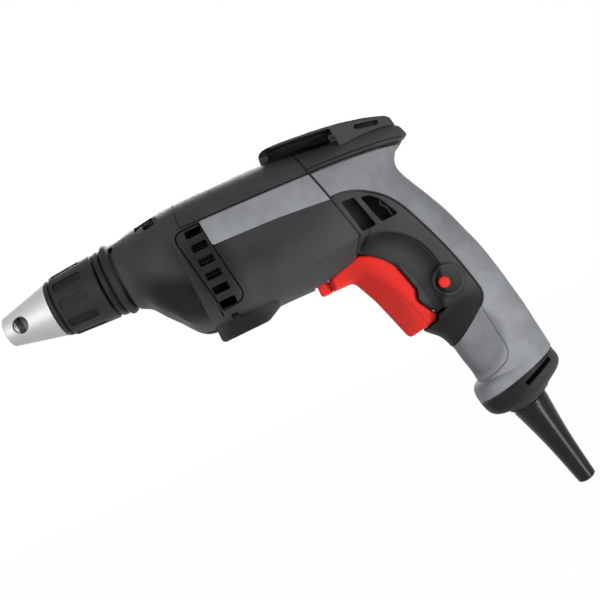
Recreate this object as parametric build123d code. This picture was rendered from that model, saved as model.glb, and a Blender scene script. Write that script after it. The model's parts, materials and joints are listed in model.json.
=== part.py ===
from build123d import *

import math
import os

# A corded drywall screw gun built as separate pieces, in millimetres.
# X runs along the spindle with the nose at the low end, Z is up and the grip hangs down.
# The origin is the middle of the nose mouth, on the spindle axis.

# Clearances
RUN_FIT = 0.03  # shaft in a bush or bearing, on the radius
SLIDE_FIT = 0.3  # sleeves and controls that slide or turn, on the radius
SEAT_FIT = 0.05  # fixed pieces in their seats
PART_GAP = 0.3  # shown line between two pieces
SEAM_GAP = 0.5  # shown line between the housings

# Gear pair, which sets how far the motor lies below the spindle
MODULE = 0.65
PINION_TEETH = 9
GEAR_TEETH = 36
PROFILE_SHIFT = 0.47
PRESSURE_ANGLE = 20.0
BACKLASH = 0.12
GEAR_WIDTH = 9.0
MOTOR_Z = -MODULE * (PINION_TEETH + GEAR_TEETH) / 2

# Nose cone
NOSE_LENGTH = 29.5
NOSE_TIP_R = 8.4
NOSE_BASE_R = 15.6
NOSE_MOUTH_R = 5.6
NOSE_MOUTH_LENGTH = 4.0
NOSE_WALL = 1.8
NOSE_HOLE_X = 10.4
NOSE_HOLE_R = 4.7

# Neck of the gear case, with the sleeve, collar and ring that ride on it
NECK_R = 12.4
NECK_FRONT = 44.0
SLEEVE_WALL = 1.5
SLEEVE_NOSE_LENGTH = 7.0
COLLAR_LENGTH = 29.7
COLLAR_FRONT_R = 16.2
COLLAR_LIP_R = 17.4
COLLAR_REAR_R = 19.1
COLLAR_FLUTES = 10
COLLAR_GAP = 1.2
RING_WIDTH = 4.2
RING_R = 19.0
BEAD_WIDTH = 5.6
BEAD_R = 20.7

# Bit holder and spindle
HEX_AF = 6.35
HEX_CLEARANCE = 0.1
HOLDER_X = 14.0
HOLDER_R = 5.75
HOLDER_LENGTH = 27.0
SOCKET_DEPTH = 14.0
MAGNET_LENGTH = 3.0
SHANK_LENGTH = 20.0
SPINDLE_R = 7.0
SPINDLE_LENGTH = 42.0
FLANGE_R = 10.4
FLANGE_WIDTH = 4.0
DOG_COUNT = 6
DOG_HEIGHT = 2.0
CLUTCH_GAP = 0.6
JOURNAL_R = 4.0
JOURNAL_LENGTH = 20.0
BUSH_WALL = 2.5
REAR_BUSH_WALL = 1.6
SEAL_WIDTH = 1.8
WASHER_THICKNESS = 1.0
BRIDGE_THICKNESS = 9.0

# Motor
SHAFT_R = 3.0
FRONT_BEARING_R = 7.5
FRONT_BEARING_WIDTH = 5.0
REAR_BEARING_R = 9.5
REAR_BEARING_WIDTH = 6.0
FAN_R = 27.5
FAN_WIDTH = 8.0
FAN_BLADES = 14
BAFFLE_THICKNESS = 1.6
STATOR_R = 29.0
STATOR_RING = 5.0
STACK_LENGTH = 30.0
COIL_OVERHANG = 6.5
COIL_WIDTH = 5.0
ARMATURE_R = 16.8
AIR_GAP = 0.5
ARMATURE_SLOTS = 12
COMMUTATOR_R = 11.0
COMMUTATOR_LENGTH = 12.0
COMMUTATOR_BARS = 24
BRUSH_WIDTH = 6.0
BRUSH_HEIGHT = 9.0
BRUSH_LENGTH = 9.0
HOLDER_WALL = 1.0
CARRIER_R = 25.0
CARRIER_THICKNESS = 2.8
CARRIER_LEDGE = 2.0
CARRIER_WEB = 2.4

# Housing walls, and the room that they leave round the motor
WALL = 2.6
HANDLE_WALL = 3.4
SKIN = 1.4  # soft grip
SIDE_ROOM = 2.4
CROWN_ROOM = 6.6
FLOOR_ROOM = 6.2
ROUND_QUARTER = 0.5523  # handle length of a quarter curve that is round
CREASE_REACH = 0.55  # handle lengths of the flatter curves on both sides of a crease
CREASE_HANDLE = 0.35

# Stations along X, each following from the ones before
SPIGOT_LENGTH = 9.8
collar_front = NOSE_LENGTH + PART_GAP
collar_rear = collar_front + COLLAR_LENGTH
ring_front = collar_rear + COLLAR_GAP
bead_front = ring_front + RING_WIDTH + SEAT_FIT
case_front = bead_front + BEAD_WIDTH
holder_rear = HOLDER_X + HOLDER_LENGTH
spindle_front = holder_rear + 1.0
flange_x = spindle_front + SPINDLE_LENGTH
dog_x = flange_x + FLANGE_WIDTH
gear_dog_x = dog_x + DOG_HEIGHT + CLUTCH_GAP
gear_x = gear_dog_x + DOG_HEIGHT
washer_x = gear_x + GEAR_WIDTH + 0.2
bridge_x = washer_x + WASHER_THICKNESS + 0.2
bridge_rear = bridge_x + BRIDGE_THICKNESS
seam_x = bridge_rear + 0.3
fan_x = seam_x + 0.9
baffle_x = fan_x + FAN_WIDTH + 1.2
stack_x = baffle_x + BAFFLE_THICKNESS + COIL_OVERHANG + 0.6
stack_rear = stack_x + STACK_LENGTH
commutator_x = stack_rear + COIL_OVERHANG + 1.5
carrier_x = commutator_x + COMMUTATOR_LENGTH + 1.0
rear_bearing_x = carrier_x + CARRIER_THICKNESS
shaft_rear = rear_bearing_x + REAR_BEARING_WIDTH

sleeve_bore = NECK_R + SLIDE_FIT
sleeve_r = sleeve_bore + SLEEVE_WALL
collar_bore = sleeve_r + SLIDE_FIT
spigot_r = collar_bore - SLIDE_FIT
spigot_bore = spigot_r - SLEEVE_WALL
sleeve_nose_r = spigot_bore - SLIDE_FIT
bush_r = SPINDLE_R + RUN_FIT + BUSH_WALL

barrel_top = MOTOR_Z + STATOR_R + CROWN_ROOM + WALL
barrel_bottom = MOTOR_Z - STATOR_R - FLOOR_ROOM - WALL
barrel_half = STATOR_R + SIDE_ROOM + WALL

# Gear case sections: distance from the housing seam, drop of the top from the barrel's,
# rise of the bottom, narrowing of each side, fullness of the upper and of the lower corners,
# share of the upper height at which the shoulder lies, share of the lower one at which the
# chine lies, and sharpness of both
CASE_FRONT_R = 18.7
CASE_SECTIONS = [
    (
        case_front - seam_x,
        barrel_top - CASE_FRONT_R,
        -CASE_FRONT_R - barrel_bottom,
        barrel_half - CASE_FRONT_R,
        ROUND_QUARTER,
        ROUND_QUARTER,
        0.66,
        0.70,
        0.0,
    ),
    (-36.5, 4.4, 29.9, 13.2, 0.56, 0.57, 0.66, 0.72, 0.15),
    (-28.0, 2.7, 19.9, 7.0, 0.57, 0.62, 0.66, 0.75, 0.45),
    (-19.0, 1.4, 8.7, 2.4, 0.58, 0.66, 0.66, 0.78, 0.75),
    (-15.0, 0.9, 4.4, 1.2, 0.58, 0.68, 0.66, 0.79, 1.0),
    (-8.5, 0.4, 2.1, 0.4, 0.58, 0.70, 0.66, 0.79, 1.0),
    (0.0, 0.0, 1.2, 0.0, 0.58, 0.70, 0.66, 0.77, 1.0),
]

# Barrel sections behind the seam, in the same way
BARREL_SECTIONS = [
    (0.0, 0.0, 1.2, 0.0, 0.58, 0.70, 0.66, 0.77, 1.0),
    (18.0, 0.1, 0.2, 0.0, 0.58, 0.70, 0.66, 0.74, 1.0),
    (38.0, 0.9, -0.2, 0.4, 0.58, 0.70, 0.66, 0.70, 1.0),
    (51.0, 1.8, -0.6, 1.0, 0.60, 0.70, 0.66, 0.66, 1.0),
    (64.0, 3.2, 1.0, 2.4, 0.66, 0.70, 0.66, 0.65, 1.0),
    (76.0, 5.4, 3.6, 4.8, 0.72, 0.70, 0.67, 0.68, 1.0),
    (88.0, 7.1, 9.5, 8.4, 0.74, 0.70, 0.68, 0.72, 0.7),
    (100.0, 8.3, 24.0, 12.6, 0.72, 0.70, 0.68, 0.72, 0.4),
    (110.0, 9.8, 38.6, 15.4, 0.70, 0.70, 0.68, 0.72, 0.2),
    (118.0, 11.2, 46.6, 17.6, 0.68, 0.70, 0.68, 0.72, 0.1),
    (125.0, 12.8, 50.4, 20.4, 0.66, 0.70, 0.68, 0.72, 0.0),
    (128.0, 14.2, 52.0, 22.4, 0.64, 0.70, 0.68, 0.72, 0.0),
    (130.6, 19.6, 53.2, 25.8, 0.60, 0.70, 0.68, 0.72, 0.0),
]
SHOULDER_OUT = 0.81  # share of the half width at the shoulder
CHINE_OUT = 0.92  # share of the half width at the chine
SECTION_STEP = 5.0

# Handle sections: front x and z, back x and z, half width
HANDLE_SECTIONS = [
    (195.0, 5.0, 237.5, 5.0, 15.0),
    (193.0, -1.5, 236.0, -1.5, 18.0),
    (192.0, -6.0, 232.9, -6.0, 19.6),
    (191.0, -11.5, 231.1, -11.5, 20.6),
    (191.0, -19.0, 233.5, -19.0, 21.3),
    (191.0, -30.0, 238.8, -30.0, 21.6),
    (186.0, -43.0, 244.8, -43.0, 21.0),
    (193.5, -50.0, 247.4, -50.0, 20.4),
    (199.5, -56.0, 249.3, -56.0, 19.8),
    (206.0, -70.0, 253.9, -70.0, 18.9),
    (208.0, -84.0, 257.1, -84.0, 18.2),
    (204.4, -97.5, 259.6, -97.5, 17.6),
    (211.4, -104.5, 260.8, -104.5, 17.2),
    (215.6, -113.5, 262.0, -113.0, 17.0),
    (217.3, -122.5, 263.0, -122.0, 17.0),
    (219.4, -132.0, 264.1, -131.0, 17.2),
    (220.1, -137.2, 264.6, -135.5, 17.5),
]
FOOT_SECTIONS = [
    (220.1, -137.2, 264.6, -135.5, 17.5),
    (216.6, -141.2, 264.9, -138.5, 18.4),
    (215.7, -143.6, 265.1, -141.0, 18.8),
    (216.4, -148.3, 265.2, -144.5, 18.9),
    (218.3, -154.5, 259.8, -149.6, 18.0),
    (222.0, -157.6, 254.0, -153.8, 15.5),
]
HANDLE_QUARTER = 0.62

# Finger channel, grip dish, grooves and slots on the sides, as x and z
CHANNEL_LINE = [
    (184.0, -38.4),
    (196.1, -39.1),
    (204.2, -39.8),
    (212.5, -44.0),
    (220.1, -50.4),
    (224.0, -57.0),
    (226.9, -69.0),
]
CHANNEL_REST = [
    (219.4, -72.5),
    (218.2, -80.0),
    (219.6, -88.0),
    (219.6, -92.0),
    (205.0, -99.5),
    (180.0, -99.5),
]
CHANNEL_DEPTH = 1.3
DISH_LINE = [
    (237.0, -96.0),
    (238.2, -108.0),
    (239.3, -118.0),
    (239.8, -125.0),
    (237.8, -129.8),
    (233.0, -133.0),
    (227.3, -135.4),
    (215.0, -138.6),
]
DISH_REST = [(205.0, -138.6), (205.0, -96.0)]
DISH_DEPTH = 0.55
GROOVE_WIDTH = 0.6
GROOVE_DEPTH = 0.5
BAND_GROOVE = [(108.0, 6.6), (150.0, 4.85), (192.0, 3.05)]
GRIP_GROOVES = [
    [(176.0, 3.5), (207.0, 2.5), (246.0, -2.2)],
    [(176.0, 5.7), (207.0, 4.7), (246.0, 0.2)],
]
FOOT_SLOT = ((241.2, -146.2), (257.2, -140.4), 2.6, 9.0)
FOOT_SLIT = ((213.6, -92.9), (219.6, -91.6), 1.3, 9.0)

# Cord guard along its own axis, from inside the handle end outwards
GUARD_ROOT = (238.9, -150.0)
GUARD_END = (251.4, -210.7)
GUARD_BORE_R = 4.1
GUARD_FLANGE_R = 10.6
GUARD_FLANGE_WIDTH = 3.0
GUARD_NECK_R = 8.4
GUARD_NECK_LENGTH = 3.9
GUARD_BASE_R = 10.4
GUARD_TIP_R = 5.3
GUARD_TAPER = [(0.18, 9.05), (0.46, 7.25), (0.74, 6.1)]
GUARD_BOSS_R = 11.6

# Controls
TRIGGER_HALF_WIDTH = 9.5
TRIGGER_TRAVEL = 6.5
TRIGGER_SLOPE = 7.0  # degrees that the pull climbs
TRIGGER_ROD_R = 2.5
TRIGGER_ROD_Z = -72.0
TRIGGER_NOSE_X = 169.9
TRIGGER_REAR = [
    (TRIGGER_NOSE_X, -51.6, 0.8),
    (188.6, -45.0, 11.0),
    (205.4, -53.2, 13.0),
    (211.2, -76.0, 3.0),
    (209.0, -82.0, 5.0),
    (215.4, -92.8, 1.5),
    (213.6, -96.2, 1.0),
]
TRIGGER_CORE = [
    *TRIGGER_REAR,
    (196.9, -98.8, 1.6),
    (189.2, -73.5, 60.0),
    (182.6, -58.4, 4.5),
    (TRIGGER_NOSE_X, -58.2, 0.8),
]
TRIGGER_CHEEK = [
    *TRIGGER_REAR,
    (208.2, -97.0, 1.6),
    (202.6, -74.0, 60.0),
    (188.0, -56.6, 4.5),
    (TRIGGER_NOSE_X, -57.0, 0.8),
]
TRIGGER_CORE_HALF = 5.0
TRIGGER_RIM = 1.0  # bevel round each side of the trigger
TRIGGER_GROOVE_HALF = 5.4  # groove in the trigger's top under the reversing lever
TRIGGER_GROOVE_DROP = 1.5
FOOT_ROOM = [  # opening beside the trigger's foot
    (196.0, -82.0, 0),
    (209.3, -82.3, 3.0),
    (215.9, -93.0, 0.6),
    (214.0, -96.8, 0.6),
    (208.4, -97.8, 0),
    (196.0, -97.8, 0),
]
LIP_HALF_WIDTH = 11.6  # rim of the trigger slot behind the trigger
LIP_CORNERS = [
    (187.0, -45.4, 0),
    (190.5, -45.3, 3.0),
    (198.0, -49.0, 3.0),
    (205.9, -55.5, 3.0),
    (211.4, -76.4, 2.0),
    (209.3, -82.2, 3.0),
    (215.9, -93.0, 0),
    (221.0, -93.4, 0),
    (221.0, -56.0, 0),
    (210.0, -42.0, 0),
    (189.0, -42.0, 0),
]
LEVER_PIVOT_X = 188.0
LEVER_TOP_Z = -43.0
LEVER_THICKNESS = 2.5
ARM_THICKNESS = 2.4
ARM_TOP_Z = LEVER_TOP_Z + 0.5 + ARM_THICKNESS
LEVER_TAB_X = 163.4
LEVER_SWEEP_GAP = 0.3  # between the tab and the trigger's nose, both round about the pivot
LEVER_TAB_Z = -58.2
LEVER_HALF_WIDTH = 3.0
LEVER_PIN_R = 1.5
SLOT_HALF_WIDTH = TRIGGER_HALF_WIDTH + 0.5
SWITCH_X = 219.5
SWITCH_DEPTH = 20.0
SWITCH_TOP = -52.0
SWITCH_HEIGHT = 34.0
SWITCH_HALF_WIDTH = 9.0
LOCK_X = 224.6
LOCK_Z = -78.7
LOCK_R = 3.2
LOCK_TRAVEL = 2.5
LOCK_BOSS_X = 227.0
LOCK_BOSS_Z = -78.4
LOCK_BOSS_R = 8.6
LOCK_RIM_Y = -20.6
LOCK_FLOOR_Y = -17.2
LOCK_INNER_Y = -15.0
LOCK_FACE_Y = -20.0
LOCK_FLANGE_R = 4.6
LOCK_FLANGE_WIDTH = 1.2
LOCK_STEM_R = 2.0
LOCK_STEM_REACH = 0.8  # of the stem into the switch, at rest

# Belt hook
HOOK_HALF_WIDTH = 18.0
HOOK_ARCH = 2.8
HOOK_PLAN = [(163.5, 14.0, 7.0), (180.0, 18.0, 25.0), (206.0, 17.0, 25.0), (241.0, 9.5, 5.0)]
HOOK_HOLLOW_FRONT = 169.4  # hollow under each side of the hook
HOOK_HOLLOW_REAR = 205.8
HOOK_HOLLOW_STEPS = [(14.4, 1.3), (11.6, 2.2), (8.8, 3.0)]
HOOK_SCREWS = [(226.0, -4.6), (226.0, 4.6)]
HOOK_SCREW_TOP = 16.5
HOOK_SCREW_LENGTH = 12.0
HOOK_POST_R = 3.4
HOOK_SLOT = ((219.3, 16.5), (230.3, 14.3), 2.4, 9.0)

# Air slots in the motor housing
VENT_COUNT = 6
VENT_TOP = 1.7
VENT_PITCH = 8.05
VENT_LENGTH = 8.9
VENT_HEIGHT = 4.2
VENT_X = seam_x + 5.0
VENT_DRIFT = 0.16
PANEL_DEPTH = 0.35
PANEL_BORDER = 0.8
BORDER_DEPTH = 1.2

# Pieces inside the grip
CAPACITOR_X = 228.0
CAPACITOR_DEPTH = 20.0
CAPACITOR_Z = -113.0
CAPACITOR_HALF_WIDTH = 6.0
CAPACITOR_HALF_HEIGHT = 8.0
CLAMP_POSTS = (229.5, 248.5)
CLAMP_POST_R = 3.4
CLAMP_Z = -138.5
CLAMP_Y = -GUARD_BORE_R
CLAMP_THICKNESS = 2.6
CLAMP_HALF_HEIGHT = 4.0
CLAMP_SCREW_LENGTH = 9.0
CLAMP_HEAD_R = 2.6
PARTITION_THICKNESS = 1.6  # wall between the air windows of the two shells
PARTITION_FRONT = 193.0
PARTITION_REAR = 224.0

# Screws
SCREW_R = 1.7
SCREW_HEAD_R = 3.0
SCREW_HEAD_HEIGHT = 2.4
SCREW_BOSS_R = 4.2
HEAD_ROOM = 0.3
POCKET_REACH = 14.0
HANDLE_SCREWS = [
    (231.0, 4.6),
    (201.5, 8.0),
    (240.0, -46.0),
    (219.5, -103.0),
    (224.5, -150.0),
    (254.0, -129.0),
]
HANDLE_SCREW_SHOULDER = 6.5
HANDLE_SCREW_LENGTH = 15.0
TOP_SEAT_X = seam_x - 10.3
RAIL_SEAT_X = seam_x - 4.0
CASE_SCREWS = [
    (-13.0, 17.6, TOP_SEAT_X),
    (13.0, 17.6, TOP_SEAT_X),
    (-13.5, -50.2, RAIL_SEAT_X),
    (13.5, -50.2, RAIL_SEAT_X),
]
TOP_SLOT = ((TOP_SEAT_X - 7.2, 16.7), (TOP_SEAT_X - 1.4, 17.6), 3.4, 9.5)
CASE_SCREW_LENGTH = 20.0
CASE_BOSS_R = 4.8
RAIL_BOSS_R = 6.4
RAIL_FRONT = seam_x - 7.1
RAIL_REAR = seam_x + 19.2
RAIL_BOTTOM = -56.8
RAIL_INNER_Y = 7.5
RAIL_OUTER_Y = 19.5
RAIL_EDGE_R = 1.8

SEAM_STEP_Z = 6.4  # height at which the seam steps forward round the vents

# Notch behind the bead, on both sides
NOTCH_TURN = 39.0
NOTCH_LENGTH = 2.4
NOTCH_HALF = 2.6
NOTCH_FLOOR = 17.4

FAR = 300.0  # reach of a cut that only has to pass everything


def quarter(start, corner, end, fullness):
    """Curve from start to end, square to the sides of the corner between them."""
    a = Vector(start)
    b = Vector(corner)
    c = Vector(end)
    return Bezier(a, a + (b - a) * fullness, c + (b - c) * fullness, c)


def rounded_section(front, back, half_width, front_fullness, back_fullness):
    """Closed outline across the Y direction, through its front and back points."""
    f = Vector(*front)
    b = Vector(*back)
    m = (f + b) * 0.5
    side = Vector(0, half_width, 0)
    right = m + side
    left = m - side
    return Wire(
        [
            quarter(f, f + side, right, front_fullness),
            quarter(right, b + side, b, back_fullness),
            quarter(b, b - side, left, back_fullness),
            quarter(left, f - side, f, front_fullness),
        ]
    )


def evened(rows):
    """Rows resampled evenly along their first value, by curves that do not overshoot."""
    stations = [row[0] for row in rows]
    widths = [b - a for a, b in zip(stations, stations[1:])]
    count = max(2, round((stations[-1] - stations[0]) / SECTION_STEP))
    places = [stations[0] + (stations[-1] - stations[0]) * n / count for n in range(count + 1)]
    columns = [places]
    for values in list(zip(*rows))[1:]:
        slopes = [(b - a) / width for a, b, width in zip(values, values[1:], widths)]
        tangents = [slopes[0]]
        for n in range(1, len(slopes)):
            before = slopes[n - 1]
            after = slopes[n]
            if before * after <= 0:
                tangents.append(0.0)
            else:
                first = 2 * widths[n] + widths[n - 1]
                second = widths[n] + 2 * widths[n - 1]
                tangents.append((first + second) / (first / before + second / after))
        tangents.append(slopes[-1])
        column = []
        for place in places:
            n = 0
            while n < len(widths) - 1 and place > stations[n + 1]:
                n += 1
            t = (place - stations[n]) / widths[n]
            start = values[n] * (1 + 2 * t) * (1 - t) ** 2 + tangents[n] * widths[n] * t * (1 - t) ** 2
            end = values[n + 1] * t * t * (3 - 2 * t) - tangents[n + 1] * widths[n] * t * t * (1 - t)
            column.append(start + end)
        columns.append(column)
    return list(zip(*columns))


def creased_quarter(start, corner, end, fullness, along, across, sharpness):
    """Two curves from start to end that meet in a crease, or run smoothly at no sharpness.

    The crease lies at a share along the first side of the corner and across from it.
    """
    a = Vector(start)
    k = Vector(corner)
    c = Vector(end)
    h1 = a + (k - a) * fullness
    h2 = c + (k - c) * fullness
    smooth = [
        (a + h1) * 0.5,
        (a + h1 * 2 + h2) * 0.25,
        (a + h1 * 3 + h2 * 3 + c) * 0.125,
        (h1 + h2 * 2 + c) * 0.25,
        (h2 + c) * 0.5,
    ]
    crease = a + (k - a) * along + (c - k) * (1 - across)
    near = a + (k - a) * along * CREASE_REACH
    far = c + (k - c) * across * CREASE_REACH
    sharp = [
        near,
        crease + (near - crease) * CREASE_HANDLE,
        crease,
        crease + (far - crease) * CREASE_HANDLE,
        far,
    ]
    p = [one + (two - one) * sharpness for one, two in zip(smooth, sharp)]
    return [Bezier(a, p[0], p[1], p[2]), Bezier(p[2], p[3], p[4], c)]


def body_section(x, top, bottom, half, row):
    """Outline of the housing across X, with a shoulder above and a chine below."""
    crown, floor, shoulder, chine, sharpness = row
    middle = (top + bottom) / 2
    edges = []
    for side in (-1, 1):
        wide = side * half
        upper = creased_quarter(
            (x, 0, top),
            (x, wide, top),
            (x, wide, middle),
            crown,
            SHOULDER_OUT,
            shoulder,
            sharpness,
        )
        lower = creased_quarter(
            (x, 0, bottom),
            (x, wide, bottom),
            (x, wide, middle),
            floor,
            CHINE_OUT,
            chine,
            sharpness,
        )
        edges.extend(upper + lower)
    return Wire(edges)


def body_loft(rows, inset):
    """Loft along X through sections measured from the barrel's box, drawn in by an inset."""
    wires = []
    for behind, drop, rise, narrowing, *row in evened(rows):
        top = barrel_top - drop - inset
        bottom = barrel_bottom + rise + inset
        half = barrel_half - narrowing - inset
        if top - bottom < 2.0:
            break
        wires.append(body_section(seam_x + behind, top, bottom, half, row))
    return Solid.make_loft(wires)


def case_solid(inset):
    """Outer form of the gear case, drawn in by an inset."""
    return body_loft(CASE_SECTIONS, inset)


def barrel_solid(inset):
    """Outer form of the barrel behind the gear case, drawn in by an inset."""
    return body_loft(BARREL_SECTIONS, inset)


def grip_solid(sections, inset):
    """Loft down the handle, drawn in by an inset."""
    rows = [(-(row[1] + row[3]) / 2, *row) for row in sections]
    wires = []
    for _, front_x, front_z, back_x, back_z, half in evened(rows):
        front = Vector(front_x, 0, front_z)
        back = Vector(back_x, 0, back_z)
        along = (back - front).normalized() * inset
        wires.append(
            rounded_section(
                front + along, back - along, half - inset, HANDLE_QUARTER, HANDLE_QUARTER
            )
        )
    return Solid.make_loft(wires)


def rear_solid(inset):
    """Barrel, handle and handle end as one form, drawn in by an inset."""
    foot = FOOT_SECTIONS if inset < SKIN else FOOT_SECTIONS[:-1]
    return barrel_solid(inset) + grip_solid(HANDLE_SECTIONS, inset) + grip_solid(foot, inset)


def side_outline(*corners):
    """Face in the XZ plane from corners of x, z and corner radius."""
    points = [(x, 0, z) for x, z, _ in corners]
    radii = [radius for _, _, radius in corners]
    return make_face(FilletPolyline(*points, radius=radii, close=True))


def side_prism(face, half_width=FAR):
    """Face in the XZ plane extruded to both sides."""
    return extrude(face, half_width, both=True)


def strip_face(points, width):
    """Thin face in the XZ plane that follows a smooth line, with its width upwards."""
    low = Spline(*[(x, 0, z) for x, z in points])
    high = Spline(*[(x, 0, z + width) for x, z in points])
    return make_face(Wire([low, Line(low @ 1, high @ 1), high, Line(high @ 0, low @ 0)]))


def side_slot(start, end, height, floor):
    """Slot into both sides along a line in the XZ plane, down to a depth from the middle."""
    a = Vector(start[0], 0, start[1])
    b = Vector(end[0], 0, end[1])
    plane = Plane((a + b) * 0.5, x_dir=(b - a).normalized(), z_dir=(0, -1, 0))
    slot = plane * SlotCenterToCenter((b - a).length, height)
    return extrude(slot, FAR, both=True) - block(0, FAR, -floor, floor, -FAR, FAR)


def rod(x, length, radius, y=0.0, z=0.0):
    """Cylinder along X from x, on an axis at y and z."""
    return Plane((x, y, z), z_dir=(1, 0, 0)) * Cylinder(
        radius, length, align=(Align.CENTER, Align.CENTER, Align.MIN)
    )


def tube(x, length, outer, inner, y=0.0, z=0.0):
    """Ring along X from x."""
    return rod(x, length, outer, y, z) - rod(x - 1, length + 2, inner, y, z)


def pin(x, z, y_from, y_to, radius):
    """Cylinder along Y between two depths."""
    low = min(y_from, y_to)
    return Plane((x, low, z), z_dir=(0, 1, 0)) * Cylinder(
        radius, abs(y_to - y_from), align=(Align.CENTER, Align.CENTER, Align.MIN)
    )


def block(x0, x1, y0, y1, z0, z1):
    """Box between two corners."""
    return Pos(x0, y0, z0) * Box(x1 - x0, y1 - y0, z1 - z0, align=(Align.MIN, Align.MIN, Align.MIN))


def turned(*points):
    """Solid of revolution about X from a closed outline of x and radius."""
    outline = Polyline(*[(x, 0, r) for x, r in points], close=True)
    return revolve(make_face(outline), Axis.X, 360)


def hexagon_bar(x, length, across_flats):
    """Hexagonal prism along X on the spindle axis."""
    hexagon = RegularPolygon(across_flats / 2, 6, major_radius=False)
    return extrude(Plane((x, 0, 0), z_dir=(1, 0, 0)) * hexagon, length)


def screw(at, direction, length, head_r=SCREW_HEAD_R):
    """Pan screw whose head seats at a point and whose shank runs along a direction."""
    plane = Plane(at, z_dir=direction)
    low = (Align.CENTER, Align.CENTER, Align.MIN)
    head = Pos(0, 0, -SCREW_HEAD_HEIGHT) * Cylinder(head_r, SCREW_HEAD_HEIGHT, align=low)
    head = fillet(head.edges().sort_by(Axis.Z)[0], SCREW_HEAD_HEIGHT * 0.4)
    slot = Pos(0, 0, -SCREW_HEAD_HEIGHT) * Box(head_r * 1.2, 0.7, 2.0)
    shank = Cylinder(SCREW_R, length, align=low)
    return plane * (head + shank - slot - Rot(0, 0, 90) * slot)


def coil(start, end, radius, wire_r, turns):
    """Coil spring between two points, with the wire inside its ends."""
    a = Vector(start)
    b = Vector(end)
    direction = (b - a).normalized()
    height = (b - a).length - 2 * wire_r
    plane = Plane(a + direction * wire_r, z_dir=direction)
    path = Helix(height / turns, height, radius)
    section = Plane(path @ 0, z_dir=path % 0) * Circle(wire_r)
    return plane * sweep(section, path)


def gear_face(teeth, shift):
    """Outline of an involute gear about the X axis, with its flanks as arcs."""
    pitch_r = MODULE * teeth / 2
    tip_r = pitch_r + MODULE * (1 + shift)
    root_r = pitch_r - MODULE * (1.25 - shift)
    angle = math.radians(PRESSURE_ANGLE)
    base_r = pitch_r * math.cos(angle)
    thickness = MODULE * (math.pi / 2 + 2 * shift * math.tan(angle)) - BACKLASH / 2
    involute_at_pitch = math.tan(angle) - angle
    half_at_pitch = thickness / (2 * pitch_r)

    def half_angle(radius):
        """Half the tooth's angle at a radius."""
        local = math.acos(min(1.0, base_r / radius))
        return half_at_pitch + involute_at_pitch - (math.tan(local) - local)

    def point(radius, turn):
        return Vector(0, radius * math.sin(turn), radius * math.cos(turn))

    low_r = max(root_r, base_r)
    mid_r = (low_r + tip_r) / 2
    edges = []
    step = 2 * math.pi / teeth
    for tooth in range(teeth):
        turn = tooth * step
        foot = half_angle(low_r)
        middle = half_angle(mid_r)
        tip = half_angle(tip_r)
        rise = [point(low_r, turn - foot), point(mid_r, turn - middle), point(tip_r, turn - tip)]
        fall = [point(tip_r, turn + tip), point(mid_r, turn + middle), point(low_r, turn + foot)]
        if root_r < low_r:
            edges.append(Line(point(root_r, turn - foot), rise[0]))
        edges.append(ThreePointArc(*rise))
        edges.append(ThreePointArc(rise[2], point(tip_r, turn), fall[0]))
        edges.append(ThreePointArc(*fall))
        if root_r < low_r:
            edges.append(Line(fall[2], point(root_r, turn + foot)))
        gap_end = turn + step - foot
        edges.append(
            ThreePointArc(
                point(root_r, turn + foot), point(root_r, turn + step / 2), point(root_r, gap_end)
            )
        )
    return make_face(Wire(edges))


def along_x(face, x, length):
    """Face in the YZ plane moved to x and extruded along X."""
    return extrude(Pos(x, 0, 0) * face, length, dir=(1, 0, 0))


# Side regions that part the housings


def case_side():
    """Region in front of the line between gear case and motor housing."""
    return side_prism(
        side_outline(
            (0, 60, 0),
            (seam_x, 60, 0),
            (seam_x, SEAM_STEP_Z, 0.6),
            (seam_x - 6.9, SEAM_STEP_Z, 5.5),
            (seam_x + 0.9, -43.0, 0.6),
            (seam_x, -44.5, 0.6),
            (seam_x, -70, 0),
            (0, -70, 0),
        )
    )


def handle_side(gap):
    """Region behind the slanted line between motor housing and handle."""
    return side_prism(
        side_outline(
            (179.5 + gap, 30, 0),
            (184.2 + gap, 4.0, 0),
            (194.6 + gap, -37.0, 2.0),
            (187.6 + gap, -47.4, 0),
            (183.0 + gap, -60, 0),
            (183.0 + gap, -200, 0),
            (400, -200, 0),
            (400, 30, 0),
        )
    )


def band_face():
    """Outline of the soft band on the motor housing."""
    return side_outline(
        (122.4, 5.6, 0.8),
        (186.0, 2.9, 0),
        (189.6, -13.9, 0),
        (160.0, -10.9, 60),
        (123.8, -8.9, 0.8),
    )


def grip_face():
    """Outline of the soft grip on the handle."""
    start = (180.0, 0, 3.0)
    top = Spline(start, (207.0, 0, 2.0), (240.0, 0, -2.0))
    rear = Polyline(
        (240.0, 0, -2.0), (290.0, 0, -2.0), (290.0, 0, -130.2), (205.0, 0, -151.1), (200, 0, -113.6)
    )
    chin = Line((200, 0, -113.6), (216.0, 0, -113.4))
    lower = Spline((216.0, 0, -113.4), (226.0, 0, -106.2), (237.2, 0, -98.0))
    corner = ThreePointArc((237.2, 0, -98.0), (240.4, 0, -93.6), (240.6, 0, -89.0))
    front = Spline(
        (240.6, 0, -89.0),
        (236.2, 0, -70.3),
        (227.6, 0, -45.4),
        (216.4, 0, -24.5),
        (206.0, 0, -16.6),
        (186.0, 0, -13.4),
    )
    close = Line((186.0, 0, -13.4), start)
    return make_face(Wire([top, *rear.edges(), chin, lower, corner, front, close]))


# Nose, collar and spindle


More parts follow.
